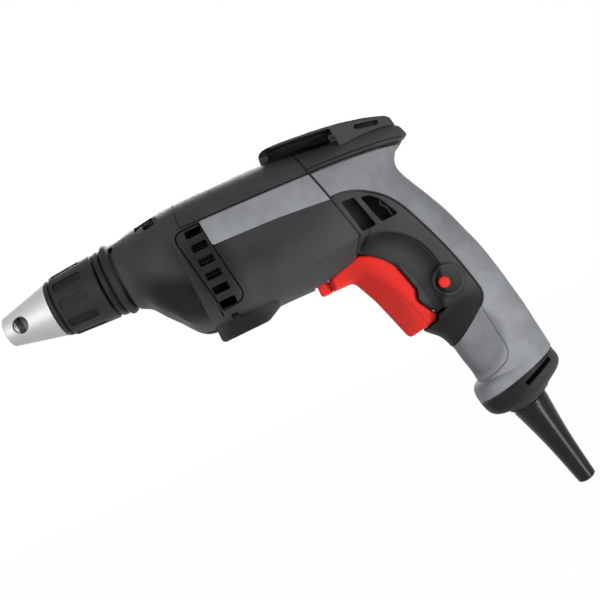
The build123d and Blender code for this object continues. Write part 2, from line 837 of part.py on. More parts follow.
def nose_cone():
    """Tapered depth nose with its mouth, side hole and spigot."""
    slope = (NOSE_BASE_R - NOSE_TIP_R) / NOSE_LENGTH
    inner_start = NOSE_MOUTH_R
    cone = turned(
        (0.0, NOSE_MOUTH_R),
        (0.0, NOSE_TIP_R - 0.7),
        (0.6, NOSE_TIP_R),
        (NOSE_LENGTH, NOSE_BASE_R),
        (NOSE_LENGTH, spigot_r),
        (NOSE_LENGTH + SPIGOT_LENGTH, spigot_r),
        (NOSE_LENGTH + SPIGOT_LENGTH, spigot_bore),
        (NOSE_LENGTH - 3.0, spigot_bore),
        (NOSE_MOUTH_LENGTH + 3.0, NOSE_TIP_R + slope * 7.0 - NOSE_WALL - 0.6),
        (NOSE_MOUTH_LENGTH, inner_start),
    )
    return cone - pin(NOSE_HOLE_X, 0, -FAR, 0, NOSE_HOLE_R)


def depth_sleeve():
    """Keyed sleeve that carries the nose along the neck."""
    shoulder = NOSE_LENGTH + SPIGOT_LENGTH + PART_GAP
    front = shoulder - SLEEVE_NOSE_LENGTH
    body = turned(
        (front, sleeve_nose_r - SLEEVE_WALL),
        (front, sleeve_nose_r),
        (shoulder, sleeve_nose_r),
        (shoulder, sleeve_r),
        (collar_rear - 1.0, sleeve_r),
        (collar_rear - 1.0, sleeve_bore),
        (shoulder + 0.8, sleeve_bore),
        (shoulder + 0.8, sleeve_nose_r - SLEEVE_WALL),
    )
    return body - tube(front + 2.0, 1.4, sleeve_r, sleeve_nose_r - 0.75)


def snap_ring():
    """Open spring ring that holds the nose on its sleeve."""
    front = NOSE_LENGTH + SPIGOT_LENGTH + PART_GAP - SLEEVE_NOSE_LENGTH
    ring = tube(front + 2.1, 1.2, spigot_bore - 0.12, sleeve_nose_r - 0.7)
    return ring - block(front, front + 4, -2.5, 2.5, 5, 20)


def depth_collar():
    """Fluted collar that sets the depth."""
    body = turned(
        (collar_front, collar_bore),
        (collar_front, COLLAR_FRONT_R - 0.7),
        (collar_front + 0.5, COLLAR_FRONT_R),
        (collar_front + 2.4, COLLAR_FRONT_R + 0.3),
        (collar_front + 2.8, COLLAR_FRONT_R - 0.5),
        (collar_front + 3.6, COLLAR_FRONT_R - 0.5),
        (collar_front + 4.2, COLLAR_LIP_R),
        (collar_rear - 0.8, COLLAR_REAR_R),
        (collar_rear, COLLAR_REAR_R - 0.7),
        (collar_rear, collar_bore),
    )
    slope = math.degrees(math.atan((COLLAR_REAR_R - COLLAR_LIP_R) / (COLLAR_LENGTH - 5.6)))
    middle_x = collar_front + 14.0
    middle_r = COLLAR_LIP_R + (COLLAR_REAR_R - COLLAR_LIP_R) * 0.42
    cutter = Rot(0, -slope, 0) * extrude(RectangleRounded(17.0, 5.6, 2.0), 3.0)
    cutter = Pos(middle_x, 0, middle_r - 0.75) * cutter
    for flute in range(COLLAR_FLUTES):
        body -= Rot(360.0 / COLLAR_FLUTES * (flute + 0.6), 0, 0) * cutter
    return body


def index_ring():
    """Click ring between the collar and the gear case."""
    return turned(
        (ring_front, NECK_R + SEAT_FIT),
        (ring_front, RING_R - 0.7),
        (ring_front + 0.7, RING_R),
        (ring_front + RING_WIDTH - 1.2, RING_R + 0.4),
        (ring_front + RING_WIDTH, RING_R - 1.0),
        (ring_front + RING_WIDTH, NECK_R + SEAT_FIT),
    )


def bit_holder():
    """Magnetic holder with a hexagon socket and shank."""
    socket_af = HEX_AF + 2 * HEX_CLEARANCE
    body = rod(HOLDER_X, HOLDER_LENGTH, HOLDER_R)
    body = chamfer(body.edges().filter_by(GeomType.CIRCLE), 0.5)
    body += hexagon_bar(holder_rear, SHANK_LENGTH, HEX_AF)
    body -= hexagon_bar(HOLDER_X - 1, SOCKET_DEPTH + 1, socket_af)
    return body - rod(HOLDER_X + SOCKET_DEPTH - 0.1, MAGNET_LENGTH + 0.2, HEX_AF / 2)


def bit_magnet():
    """Magnet at the bottom of the bit socket."""
    return rod(HOLDER_X + SOCKET_DEPTH, MAGNET_LENGTH, HEX_AF / 2 - SEAT_FIT)


def dogs(x, turn):
    """Ring of clutch dogs along X from x."""
    ring = tube(x, DOG_HEIGHT, FLANGE_R, FLANGE_R - 3.0)
    half = math.radians(360.0 / DOG_COUNT / 4 - 2.5)
    reach = FLANGE_R * 2
    kept = []
    for dog in range(DOG_COUNT):
        middle = math.radians(360.0 / DOG_COUNT * dog + turn)
        a = middle - half
        b = middle + half
        wedge = Polyline(
            (0, 0, 0),
            (0, reach * math.sin(a), reach * math.cos(a)),
            (0, reach * math.sin(b), reach * math.cos(b)),
            close=True,
        )
        kept.append(along_x(make_face(wedge), x - 1, DOG_HEIGHT + 2) & ring)
    return kept


def spindle():
    """Output spindle with its hexagon bore, clutch flange and rear journal."""
    body = rod(spindle_front, SPINDLE_LENGTH + 1, SPINDLE_R)
    body = chamfer(body.edges().sort_by(Axis.X)[0], 0.6)
    body += rod(flange_x, FLANGE_WIDTH, FLANGE_R)
    body += rod(dog_x - 0.5, JOURNAL_LENGTH + 0.5, JOURNAL_R)
    for dog in dogs(dog_x, 0.0):
        body += dog
    bore_af = HEX_AF + 2 * HEX_CLEARANCE
    return body - hexagon_bar(spindle_front - 1, SHANK_LENGTH + 1.5, bore_af)


def spindle_seal():
    """Dust seal in the mouth of the neck."""
    return tube(NECK_FRONT + 0.2, SEAL_WIDTH, bush_r - SEAT_FIT, SPINDLE_R + RUN_FIT + 0.02)


def front_bush():
    """Long bush that carries the spindle in the neck."""
    x = NECK_FRONT + SEAL_WIDTH + 0.4
    return tube(x, case_front + 4.0 - x, bush_r - SEAT_FIT, SPINDLE_R + RUN_FIT)


def drive_gear():
    """Spur gear with clutch dogs, free on the spindle's journal."""
    body = along_x(gear_face(GEAR_TEETH, -PROFILE_SHIFT), gear_x, GEAR_WIDTH)
    for dog in dogs(gear_dog_x, 180.0 / DOG_COUNT):
        body += dog
    body -= rod(gear_x - 1, GEAR_WIDTH + 2, JOURNAL_R + RUN_FIT)
    return body - tube(gear_x - 1, 5.0, FLANGE_R - 3.4, JOURNAL_R - 0.1)


def clutch_spring():
    """Spring that holds the clutch apart."""
    return coil((dog_x + 0.1, 0, 0), (gear_x + 3.9, 0, 0), 5.5, 0.55, 4)


def thrust_washer():
    """Washer between the drive gear and the bearing bridge."""
    return tube(washer_x, WASHER_THICKNESS, 8.0, JOURNAL_R + SLIDE_FIT)


def rear_bush():
    """Bush for the spindle's rear journal."""
    outer = JOURNAL_R + RUN_FIT + REAR_BUSH_WALL
    return tube(bridge_x + 0.1, JOURNAL_LENGTH * 0.3, outer - SEAT_FIT, JOURNAL_R + RUN_FIT)


# Motor


def armature_shaft():
    """Motor shaft with the pinion cut on its front end."""
    pinion = along_x(gear_face(PINION_TEETH, PROFILE_SHIFT), gear_x - 0.3, GEAR_WIDTH + 0.6)
    pinion = Pos(0, 0, MOTOR_Z) * Rot(180.0 / PINION_TEETH, 0, 0) * pinion
    start = gear_x + GEAR_WIDTH + 0.2
    shaft = rod(start, shaft_rear - start - 0.4, SHAFT_R, 0, MOTOR_Z)
    thick = rod(fan_x - 0.4, carrier_x - 0.4 - fan_x, SHAFT_R + 1.0, 0, MOTOR_Z)
    return pinion + shaft + thick


def armature_core():
    """Laminated core with open slots."""
    core = tube(stack_x, STACK_LENGTH, ARMATURE_R, SHAFT_R + 1.0 + 0.01, 0, MOTOR_Z)
    for slot in range(ARMATURE_SLOTS):
        cutter = block(stack_x - 1, stack_rear + 1, -0.8, 0.8, ARMATURE_R - 1.6, ARMATURE_R + 1)
        core -= Pos(0, 0, MOTOR_Z) * Rot(360.0 / ARMATURE_SLOTS * (slot + 0.5), 0, 0) * cutter
    return core


def armature_windings():
    """End turns of the winding at both ends of the core."""
    inner = SHAFT_R + 1.0 + 0.01
    outer = ARMATURE_R - 2.2
    ends = []
    for x0, x1 in ((stack_x - COIL_OVERHANG + 0.6, stack_x), (stack_rear, stack_rear + COIL_OVERHANG)):
        ring = turned(
            (x0, inner),
            (x0, outer - 2.5),
            (x0 + 1.6, outer),
            (x1 - 1.0, outer),
            (x1, outer - 1.0),
            (x1, inner),
        )
        ends.append(Pos(0, 0, MOTOR_Z) * ring)
    return ends


def commutator():
    """Commutator with its bars parted by fine slots."""
    inner = SHAFT_R + 1.0 + 0.01
    body = tube(commutator_x, COMMUTATOR_LENGTH, COMMUTATOR_R, inner, 0, MOTOR_Z)
    for bar in range(COMMUTATOR_BARS):
        cutter = block(
            commutator_x + 2.0,
            commutator_x + COMMUTATOR_LENGTH + 1,
            -0.2,
            0.2,
            COMMUTATOR_R - 0.7,
            COMMUTATOR_R + 1,
        )
        body -= Pos(0, 0, MOTOR_Z) * Rot(360.0 / COMMUTATOR_BARS * bar, 0, 0) * cutter
    return body


def cooling_fan():
    """Radial fan with curved blades on a plate."""
    hub = rod(fan_x, FAN_WIDTH, 8.0)
    fan = hub + rod(fan_x, 1.4, FAN_R)
    arc = ThreePointArc((0, 3.0, 7.0), (0, 6.4, 17.0), (0, 3.6, FAN_R - 0.6))
    blade = make_face(
        Wire(
            [
                arc,
                Line((0, 3.6, FAN_R - 0.6), (0, 2.4, FAN_R - 0.6)),
                ThreePointArc((0, 2.4, FAN_R - 0.6), (0, 5.2, 17.0), (0, 1.8, 7.0)),
                Line((0, 1.8, 7.0), (0, 3.0, 7.0)),
            ]
        )
    )
    solid = along_x(blade, fan_x + 1.0, FAN_WIDTH - 1.0)
    for count in range(FAN_BLADES):
        fan += Rot(360.0 / FAN_BLADES * count, 0, 0) * solid
    fan -= rod(fan_x - 1, FAN_WIDTH + 2, SHAFT_R + 1.0 + 0.01)
    return Pos(0, 0, MOTOR_Z) * fan


def ball_bearing(x, width, outer, bore):
    """Sealed ball bearing with its shields set in."""
    ring = turned((x, bore), (x, outer), (x + width, outer), (x + width, bore))
    middle = (outer + bore) / 2
    for face_x in (x - 1.0, x + width - 0.5):
        ring -= tube(face_x, 1.5, middle + 1.1, middle - 1.1)
    return ring


def front_bearing():
    """Bearing of the motor shaft in the bridge."""
    x = bridge_rear - FRONT_BEARING_WIDTH
    body = ball_bearing(x, FRONT_BEARING_WIDTH, FRONT_BEARING_R - SEAT_FIT, SHAFT_R + RUN_FIT)
    return Pos(0, 0, MOTOR_Z) * body


def rear_bearing():
    """Bearing of the motor shaft in the brush carrier."""
    x = rear_bearing_x
    body = ball_bearing(x, REAR_BEARING_WIDTH - 0.1, REAR_BEARING_R - SEAT_FIT, SHAFT_R + RUN_FIT)
    return Pos(0, 0, MOTOR_Z) * body


def sector(x0, x1, inner, outer, half_angle, turn):
    """Part of a ring about the motor axis, turned about it from the top."""
    reach = outer * 2.2
    a = math.radians(half_angle)
    wedge = Polyline(
        (0, 0, 0),
        (0, -reach * math.sin(a), reach * math.cos(a)),
        (0, 0, reach),
        (0, reach * math.sin(a), reach * math.cos(a)),
        close=True,
    )
    ring = tube(x0, x1 - x0, outer, inner)
    part = along_x(make_face(wedge), x0, x1 - x0) & ring
    return Pos(0, 0, MOTOR_Z) * Rot(turn, 0, 0) * part


def stator_core():
    """Laminated field core with two poles."""
    bore = ARMATURE_R + AIR_GAP
    core = tube(stack_x, STACK_LENGTH, STATOR_R, STATOR_R - STATOR_RING, 0, MOTOR_Z)
    for turn in (0, 180):
        core += sector(stack_x, stack_rear, bore, STATOR_R - STATOR_RING + 0.5, 48, turn)
    for side in (-1, 1):
        y = side * (STATOR_R - STATOR_RING / 2)
        core -= rod(stack_x - 1, STACK_LENGTH + 2, SCREW_R + SEAT_FIT, y, MOTOR_Z)
    return core


def field_coils():
    """Two saddle coils round the field poles."""
    inner = ARMATURE_R + AIR_GAP + 0.8
    outer = inner + COIL_WIDTH
    coils = []
    for turn in (0, 180):
        x0 = stack_x - COIL_OVERHANG
        x1 = stack_rear + COIL_OVERHANG
        saddle = sector(x0, x1, inner, outer, 74, turn)
        saddle -= sector(stack_x - 0.3, stack_rear + 0.3, inner - 2, outer + 2, 49.5, turn)
        coils.append(saddle)
    return coils


def stator_screws():
    """Long screws that clamp the field core."""
    found = []
    for side in (-1, 1):
        y = side * (STATOR_R - STATOR_RING / 2)
        found.append(screw((stack_x, y, MOTOR_Z), (1, 0, 0), STACK_LENGTH + 4.0, 2.4))
    return found


def brush_x():
    """Middle of the brushes along the commutator."""
    return commutator_x + COMMUTATOR_LENGTH / 2


def brush_holders():
    """Brass boxes that guide the brushes."""
    x = brush_x()
    found = []
    inner_w = BRUSH_WIDTH / 2 + SEAT_FIT
    inner_h = BRUSH_HEIGHT / 2 + SEAT_FIT
    y0 = COMMUTATOR_R + 1.5
    y1 = y0 + BRUSH_LENGTH + 5.0
    for side in (-1, 1):
        low, high = sorted((side * y0, side * y1))
        outer = block(
            x - inner_w - HOLDER_WALL,
            x + inner_w + HOLDER_WALL,
            low,
            high,
            -inner_h - HOLDER_WALL,
            inner_h + HOLDER_WALL,
        )
        low, high = sorted((side * (y0 - 1), side * (y1 - HOLDER_WALL)))
        inner = block(x - inner_w, x + inner_w, low, high, -inner_h, inner_h)
        found.append(Pos(0, 0, MOTOR_Z) * (outer - inner))
    return found


def carbon_brushes():
    """Brushes that press on the commutator."""
    x = brush_x()
    found = []
    for side in (-1, 1):
        y0 = COMMUTATOR_R - 1.0
        low, high = sorted((side * y0, side * (y0 + BRUSH_LENGTH)))
        bar = block(
            x - BRUSH_WIDTH / 2, x + BRUSH_WIDTH / 2, low, high, -BRUSH_HEIGHT / 2, BRUSH_HEIGHT / 2
        )
        bar -= rod(x - BRUSH_WIDTH, BRUSH_WIDTH * 2, COMMUTATOR_R + 0.05)
        found.append(Pos(0, 0, MOTOR_Z) * bar)
    return found


def brush_springs():
    """Coils behind the brushes."""
    x = brush_x()
    found = []
    for side in (-1, 1):
        start = side * (COMMUTATOR_R - 1.0 + BRUSH_LENGTH + 0.05)
        end = side * (COMMUTATOR_R + 1.5 + BRUSH_LENGTH + 5.0 - HOLDER_WALL - 0.05)
        found.append(coil((x, start, MOTOR_Z), (x, end, MOTOR_Z), 2.0, 0.3, 5))
    return found


def brush_carrier():
    """Plate that holds the brush boxes and the rear bearing."""
    plate = rod(carrier_x, CARRIER_THICKNESS, CARRIER_R)
    cup_end = rear_bearing_x + REAR_BEARING_WIDTH
    plate += rod(carrier_x, cup_end + 1.6 - carrier_x, REAR_BEARING_R + 2.2)
    plate -= rod(carrier_x - 1, cup_end + 1 - carrier_x, REAR_BEARING_R)
    plate -= rod(carrier_x - 1, FAR, SHAFT_R + 1.5)
    reach_x = brush_x() + BRUSH_WIDTH / 2 + SEAT_FIT + HOLDER_WALL + SEAT_FIT
    for side in (-1, 1):
        low, high = sorted((side * (REAR_BEARING_R + 4.0), side * (CARRIER_R - CARRIER_LEDGE - 0.8)))
        plate += block(reach_x, carrier_x + 0.5, low, high, -4.5, 4.5)
    for turn in (45, 135, 225, 315):
        window = sector(carrier_x - 1, carrier_x + 4, REAR_BEARING_R + 4.2, CARRIER_R - 3, 24, turn)
        plate -= Pos(0, 0, -MOTOR_Z) * window
    return Pos(0, 0, MOTOR_Z) * plate


def bearing_bridge(cavity):
    """Plate between gear case and motor that carries both shafts."""
    plate = cavity & block(bridge_x, bridge_rear, -FAR, FAR, -FAR, FAR)
    plate -= rod(bridge_x - 1, BRIDGE_THICKNESS - 0.2, JOURNAL_R + RUN_FIT + REAR_BUSH_WALL)
    plate -= rod(bridge_x - 1, BRIDGE_THICKNESS + 2, SHAFT_R + 1.2, 0, MOTOR_Z)
    pocket_x = bridge_rear - FRONT_BEARING_WIDTH
    plate -= rod(pocket_x, FRONT_BEARING_WIDTH + 1, FRONT_BEARING_R, 0, MOTOR_Z)
    return plate - case_screw_room()


def boss_r(z):
    """Radius of the case screw boss at a height."""
    return CASE_BOSS_R if z > 0 else RAIL_BOSS_R


def case_screw_room():
    """Room that inner plates leave round the case screw bosses."""
    room = None
    for y, z, _ in CASE_SCREWS:
        one = rod(bridge_x - 5, 60, boss_r(z) + PART_GAP, y, z)
        room = one if room is None else room + one
    return room


def air_baffle(cavity):
    """Ring that leads the air into the fan."""
    plate = cavity & block(baffle_x, baffle_x + BAFFLE_THICKNESS, -FAR, FAR, -FAR, FAR)
    plate -= rod(baffle_x - 1, BAFFLE_THICKNESS + 2, FAN_R - 5.0, 0, MOTOR_Z)
    return plate - case_screw_room()


# Housings


def rails(x0, x1):
    """Flat-bottomed boss rails below the barrel, between two stations."""
    face = side_outline(
        (RAIL_FRONT, -42.0, 0),
        (RAIL_FRONT, RAIL_BOTTOM, 2.4),
        (RAIL_REAR, RAIL_BOTTOM, 2.0),
        (RAIL_REAR + 9.0, RAIL_BOTTOM + 4.4, 0),
        (RAIL_REAR + 9.0, -42.0, 0),
    )
    found = None
    for side in (-1, 1):
        rail = side_prism(face, (RAIL_OUTER_Y - RAIL_INNER_Y) / 2)
        rail = fillet(rail.edges().filter_by(Axis.X), RAIL_EDGE_R)
        rail = Pos(0, side * (RAIL_INNER_Y + RAIL_OUTER_Y) / 2, 0) * rail
        found = rail if found is None else found + rail
    return found & block(x0, x1, -FAR, FAR, -FAR, FAR)


def case_screws():
    """Screws from the gear case into the motor housing."""
    return [screw((seat, y, z), (1, 0, 0), CASE_SCREW_LENGTH) for y, z, seat in CASE_SCREWS]


def gear_housing(outer, front):
    """Gear case with its beaded front, neck and screw pockets."""
    neck = turned(
        (NECK_FRONT, 0.0),
        (NECK_FRONT, NECK_R),
        (bead_front, NECK_R),
        (bead_front, BEAD_R - 1.6),
        (bead_front + 1.3, BEAD_R - 0.2),
        (bead_front + 2.6, BEAD_R),
        (case_front - 1.6, BEAD_R - 0.6),
        (case_front, CASE_FRONT_R - 0.4),
        (case_front + 4.0, CASE_FRONT_R - 2.0),
        (case_front + 4.0, 0.0),
    )
    hollow = case_solid(WALL) - block(0, case_front + 4.0, -FAR, FAR, -FAR, FAR)
    shell = outer - hollow
    posts = None
    for y, z, _ in CASE_SCREWS:
        post = rod(TOP_SEAT_X, seam_x - TOP_SEAT_X, boss_r(z), y, z)
        posts = post if posts is None else posts + post
    shell += posts & outer
    shell = shell + neck + (rails(0, seam_x) - hollow)
    shell = shell & front
    for y, z, seat in CASE_SCREWS:
        shell -= rod(seat - 1, FAR, SCREW_R + SEAT_FIT, y, z)
        reach = POCKET_REACH if z > 0 else FAR
        shell -= rod(seat - reach, reach, SCREW_HEAD_R + HEAD_ROOM, y, z)
    notch = block(case_front, case_front + NOTCH_LENGTH, -NOTCH_HALF, NOTCH_HALF, NOTCH_FLOOR, FAR)
    for side in (-1, 1):
        shell -= Rot(side * NOTCH_TURN, 0, 0) * notch
    shell -= side_slot(*TOP_SLOT)
    seam = block(seam_x - SEAM_GAP, seam_x, -FAR, FAR, SEAM_STEP_Z, FAR)
    shell -= seam - case_solid(GROOVE_DEPTH)
    return shell - rod(NECK_FRONT - 1, case_front + 6 - NECK_FRONT, bush_r)


def vent_panel():
    """Outline of the vent panel on the side of the motor housing."""
    return side_outline(
        (seam_x - 6.3, 5.4, 5.0),
        (seam_x + 10.0, 5.4, 1.5),
        (seam_x + 16.0, -40.8, 5.0),
        (seam_x + 1.5, -42.0, 1.5),
    )


def vents():
    """Air slots in the panel."""
    found = None
    for count in range(VENT_COUNT):
        z = VENT_TOP - VENT_PITCH * count
        x = VENT_X + VENT_DRIFT * count
        slot = RectangleRounded(VENT_LENGTH, VENT_HEIGHT, 0.8)
        solid = extrude(Plane((x, 0, z), x_dir=(1, 0, 0), z_dir=(0, 1, 0)) * slot, FAR, both=True)
        found = solid if found is None else found + solid
    return found


def motor_pieces(body, cavity, front, middle):
    """Motor housing with its vents, boss rails and inner webs, and its two soft bands."""
    band_region = side_prism(band_face()) & middle
    band = (body & band_region) - barrel_solid(SKIN)
    shell = body - (band_region - barrel_solid(SKIN + SEAT_FIT)) - cavity
    inside = barrel_solid(WALL * 0.7)
    bosses = None
    for y, z, seat in CASE_SCREWS:
        boss = rod(seam_x, seat + CASE_SCREW_LENGTH + 2.0 - seam_x, boss_r(z), y, z)
        bosses = boss if bosses is None else bosses + boss
    shell += bosses & inside
    shell += seat_webs(inside)
    shell += rails(seam_x, FAR) - cavity
    shell = shell & middle
    for y, z, seat in CASE_SCREWS:
        shell -= rod(seat, CASE_SCREW_LENGTH + 0.5, SCREW_R + SEAT_FIT, y, z)
    panel = side_prism(vent_panel())
    border = panel - side_prism(offset(vent_panel(), -PANEL_BORDER))
    shell -= panel - barrel_solid(PANEL_DEPTH) - case_solid(PANEL_DEPTH)
    shell -= border - barrel_solid(BORDER_DEPTH) - case_solid(BORDER_DEPTH)
    shell -= vents()
    shell -= side_prism(strip_face(BAND_GROOVE, GROOVE_WIDTH)) - barrel_solid(GROOVE_DEPTH) - front
    drain = side_prism(drain_face()) - block(0, FAR, -RAIL_OUTER_Y, RAIL_OUTER_Y, -FAR, FAR)
    shell = shell - trigger_room() - drain
    left_half = block(0, FAR * 2, -FAR, 0, -FAR, FAR)
    right_half = block(0, FAR * 2, 0, FAR, -FAR, FAR)
    return shell, band & left_half, band & right_half


def drain_face():
    """Small opening above the boss rail."""
    return side_outline(
        (seam_x + 3.4, -45.0, 0.4),
        (seam_x + 7.4, -45.0, 0.4),
        (seam_x + 8.4, -48.4, 0.4),
        (seam_x + 11.6, -51.0, 0.3),
        (seam_x + 5.0, -51.0, 0.4),
    )


def seat_webs(inside):
    """Webs inside the motor housing that hold the field core and the brush carrier."""
    seats = [
        (stack_x + 3.0, stack_x + 6.0, STATOR_R + SEAT_FIT),
        (stack_rear - 3.0, stack_rear, STATOR_R + SEAT_FIT),
        (stack_rear, stack_rear + 3.0, STATOR_R - STATOR_RING + 0.6),
        (carrier_x - CARRIER_WEB, carrier_x - SEAT_FIT, CARRIER_R - CARRIER_LEDGE),
    ]
    webs = None
    for x0, x1, hole in seats:
        web = (inside & block(x0, x1, -FAR, FAR, -FAR, FAR)) - rod(x0 - 1, x1 - x0 + 2, hole, 0, MOTOR_Z)
        webs = web if webs is None else webs + web
    for turn in (45, 135, 225, 315):
        webs -= sector(stack_x, carrier_x, STATOR_R - 2.0, STATOR_R + 12.0, 13, turn)
    for side in (-1, 1):
        y = side * (STATOR_R - STATOR_RING / 2)
        webs -= rod(stack_rear - 4, 8, SCREW_R + SEAT_FIT, y, MOTOR_Z)
    return webs


# Handle


def trigger_axis():
    """Direction of the pull."""
    slope = math.radians(TRIGGER_SLOPE)
    return Vector(math.cos(slope), 0, math.sin(slope))


def inset_corners(corners, depth):
    """Corners of an outline drawn in by a depth, for corners that run clockwise."""
    count = len(corners)
    found = []
    for n in range(count):
        before = Vector(*corners[n - 1][:2])
        here = Vector(*corners[n][:2])
        after = Vector(*corners[(n + 1) % count][:2])
        inward = (here - before).normalized()
        outward = (after - here).normalized()
        turn = inward.X * outward.Y - inward.Y * outward.X
        share = depth / (1 + inward.dot(outward))
        normal = Vector(inward.Y + outward.Y, -inward.X - outward.X)
        place = here + normal * share
        radius = corners[n][2] + depth if turn > 0 else max(corners[n][2] - depth, 0.2)
        found.append((place.X, place.Y, radius))
    return found


def side_wire(corners, y):
    """Outline across Y at a depth, from corners of x, z and corner radius."""
    points = [(x, y, z) for x, z, _ in corners]
    return Wire(FilletPolyline(*points, radius=[radius for _, _, radius in corners], close=True).edges())


def trigger():
    """Two-finger trigger with its push rod."""
    body = side_prism(side_outline(*TRIGGER_CORE), TRIGGER_CORE_HALF)
    rim = inset_corners(TRIGGER_CHEEK, TRIGGER_RIM)
    for side in (-1, 1):
        outlines = [
            side_wire(TRIGGER_CORE, side * TRIGGER_CORE_HALF),
            side_wire(TRIGGER_CHEEK, side * (TRIGGER_HALF_WIDTH - TRIGGER_RIM)),
            side_wire(rim, side * TRIGGER_HALF_WIDTH),
        ]
        body += Solid.make_loft(outlines, ruled=True)
    groove_z = LEVER_TOP_Z - LEVER_THICKNESS - TRIGGER_GROOVE_DROP
    body -= block(0, FAR, -TRIGGER_GROOVE_HALF, TRIGGER_GROOVE_HALF, groove_z, FAR)
    body -= block(0, LEVER_PIVOT_X, -FAR, FAR, -FAR, FAR) - lever_sweep(0.0)
    along = trigger_axis()
    start = Vector(206.0, 0, TRIGGER_ROD_Z)
    push = Plane(start, z_dir=along) * Cylinder(
        TRIGGER_ROD_R, SWITCH_X + 4.0 - start.X, align=(Align.CENTER, Align.CENTER, Align.MIN)
    )
    return body + push


def trigger_room():
    """Slot through the housings for the trigger and the reversing lever."""
    face = side_outline(
        (150.0, -70.0, 0),
        (LEVER_TAB_X - 1.6, -70.0, 0),
        (LEVER_TAB_X - 1.6, LEVER_TOP_Z + 0.8, 0.5),
        (LEVER_PIVOT_X - 6.0, LEVER_TOP_Z + 0.8, 0),
        (LEVER_PIVOT_X - 6.0, ARM_TOP_Z + 0.5, 0),
        (SWITCH_X + 4.5, ARM_TOP_Z + 0.5, 0),
        (SWITCH_X + 4.5, -56.0, 0),
        (222.5, -58.0, 0),
        (222.5, -95.6, 0.8),
        (214.0, -97.0, 0.8),
        (204.0, -99.2, 0),
        (150.0, -99.2, 0),
    )
    return side_prism(face, SLOT_HALF_WIDTH)


def trigger_spring():
    """Return spring on the trigger's rod."""
    along = trigger_axis()
    start = Vector(206.0, 0, TRIGGER_ROD_Z)
    first = start + along * (211.0 - start.X)
    last = start + along * (SWITCH_X - 0.4 - start.X)
    return coil(first, last, TRIGGER_ROD_R + 1.0, 0.4, 5)


def switch_module():
    """Switch with the arm that carries the reversing lever."""
    body = block(
        SWITCH_X,
        SWITCH_X + SWITCH_DEPTH,
        -SWITCH_HALF_WIDTH,
        SWITCH_HALF_WIDTH,
        SWITCH_TOP - SWITCH_HEIGHT,
        SWITCH_TOP,
    )
    body = fillet(body.edges().filter_by(Axis.Y), 1.2)
    arm_z = ARM_TOP_Z - ARM_THICKNESS
    body += block(LEVER_PIVOT_X - 5, SWITCH_X + 4, -6, 6, arm_z, ARM_TOP_Z)
    body += block(SWITCH_X, SWITCH_X + 4, -6, 6, SWITCH_TOP - 1, arm_z + 1)
    body += Pos(LEVER_PIVOT_X, 0, arm_z - LEVER_THICKNESS - 0.8) * Cylinder(
        LEVER_PIN_R, LEVER_THICKNESS + 1.5, align=(Align.CENTER, Align.CENTER, Align.MIN)
    )
    along = trigger_axis()
    start = Vector(206.0, 0, TRIGGER_ROD_Z)
    hole = Plane(start, z_dir=along) * Cylinder(
        TRIGGER_ROD_R + SLIDE_FIT,
        SWITCH_X + 5.0 + TRIGGER_TRAVEL - start.X,
        align=(Align.CENTER, Align.CENTER, Align.MIN),
    )
    side = -SWITCH_HALF_WIDTH
    socket_end = side + LOCK_STEM_REACH + LOCK_TRAVEL + 1.0
    return body - hole - pin(LOCK_X, LOCK_Z, side - 1, socket_end, LOCK_STEM_R + SLIDE_FIT)


def lever_sweep(gap):
    """Round room about the lever's pivot, out to the trigger's nose and a gap."""
    return Pos(LEVER_PIVOT_X, 0, 0) * Cylinder(LEVER_PIVOT_X - TRIGGER_NOSE_X + gap, 2 * FAR)


def reversing_lever():
    """Lever with a tab in front of the trigger."""
    top = LEVER_TOP_Z
    bottom = top - LEVER_THICKNESS
    bar = block(LEVER_TAB_X, LEVER_PIVOT_X, -LEVER_HALF_WIDTH, LEVER_HALF_WIDTH, bottom, top)
    tab = block(LEVER_TAB_X, LEVER_PIVOT_X, -LEVER_HALF_WIDTH, LEVER_HALF_WIDTH, LEVER_TAB_Z, top)
    tab = fillet(tab.edges().filter_by(Axis.Z).group_by(Axis.X)[0], 1.2)
    tab = fillet(tab.edges().filter_by(Axis.Y).group_by(Axis.Z)[0].sort_by(Axis.X)[0], 1.6)
    tab -= lever_sweep(LEVER_SWEEP_GAP)
    hub = Pos(LEVER_PIVOT_X, 0, bottom) * Cylinder(
        LEVER_HALF_WIDTH + 1.0, LEVER_THICKNESS, align=(Align.CENTER, Align.CENTER, Align.MIN)
    )
    bore = Pos(LEVER_PIVOT_X, 0, bottom - 1) * Cylinder(
        LEVER_PIN_R + 0.08, LEVER_THICKNESS + 2, align=(Align.CENTER, Align.CENTER, Align.MIN)
    )
    return bar + tab + hub - bore


def lock_button():
    """Domed lock button with its flange and stem."""
    head = pin(LOCK_X, LOCK_Z, LOCK_FACE_Y, LOCK_INNER_Y + 0.5, LOCK_R)
    head = fillet(head.edges().sort_by(Axis.Y)[0], 1.2)
    flange_y = LOCK_INNER_Y + 0.2
    flange = pin(LOCK_X, LOCK_Z, flange_y, flange_y + LOCK_FLANGE_WIDTH, LOCK_FLANGE_R)
    stem = pin(LOCK_X, LOCK_Z, flange_y, -SWITCH_HALF_WIDTH + LOCK_STEM_REACH, LOCK_STEM_R)
    return head + flange + stem


def lock_spring():
    """Return spring of the lock button."""
    start = LOCK_INNER_Y + 0.2 + LOCK_FLANGE_WIDTH + 0.05
    return coil(
        (LOCK_X, start, LOCK_Z), (LOCK_X, -SWITCH_HALF_WIDTH - 0.05, LOCK_Z), 3.2, 0.35, 3
    )


def lock_boss():
    """Dished boss round the lock button, on the left shell."""
    boss = pin(LOCK_BOSS_X, LOCK_BOSS_Z, LOCK_RIM_Y, LOCK_INNER_Y, LOCK_BOSS_R)
    return fillet(boss.edges().sort_by(Axis.Y)[0], 0.8)


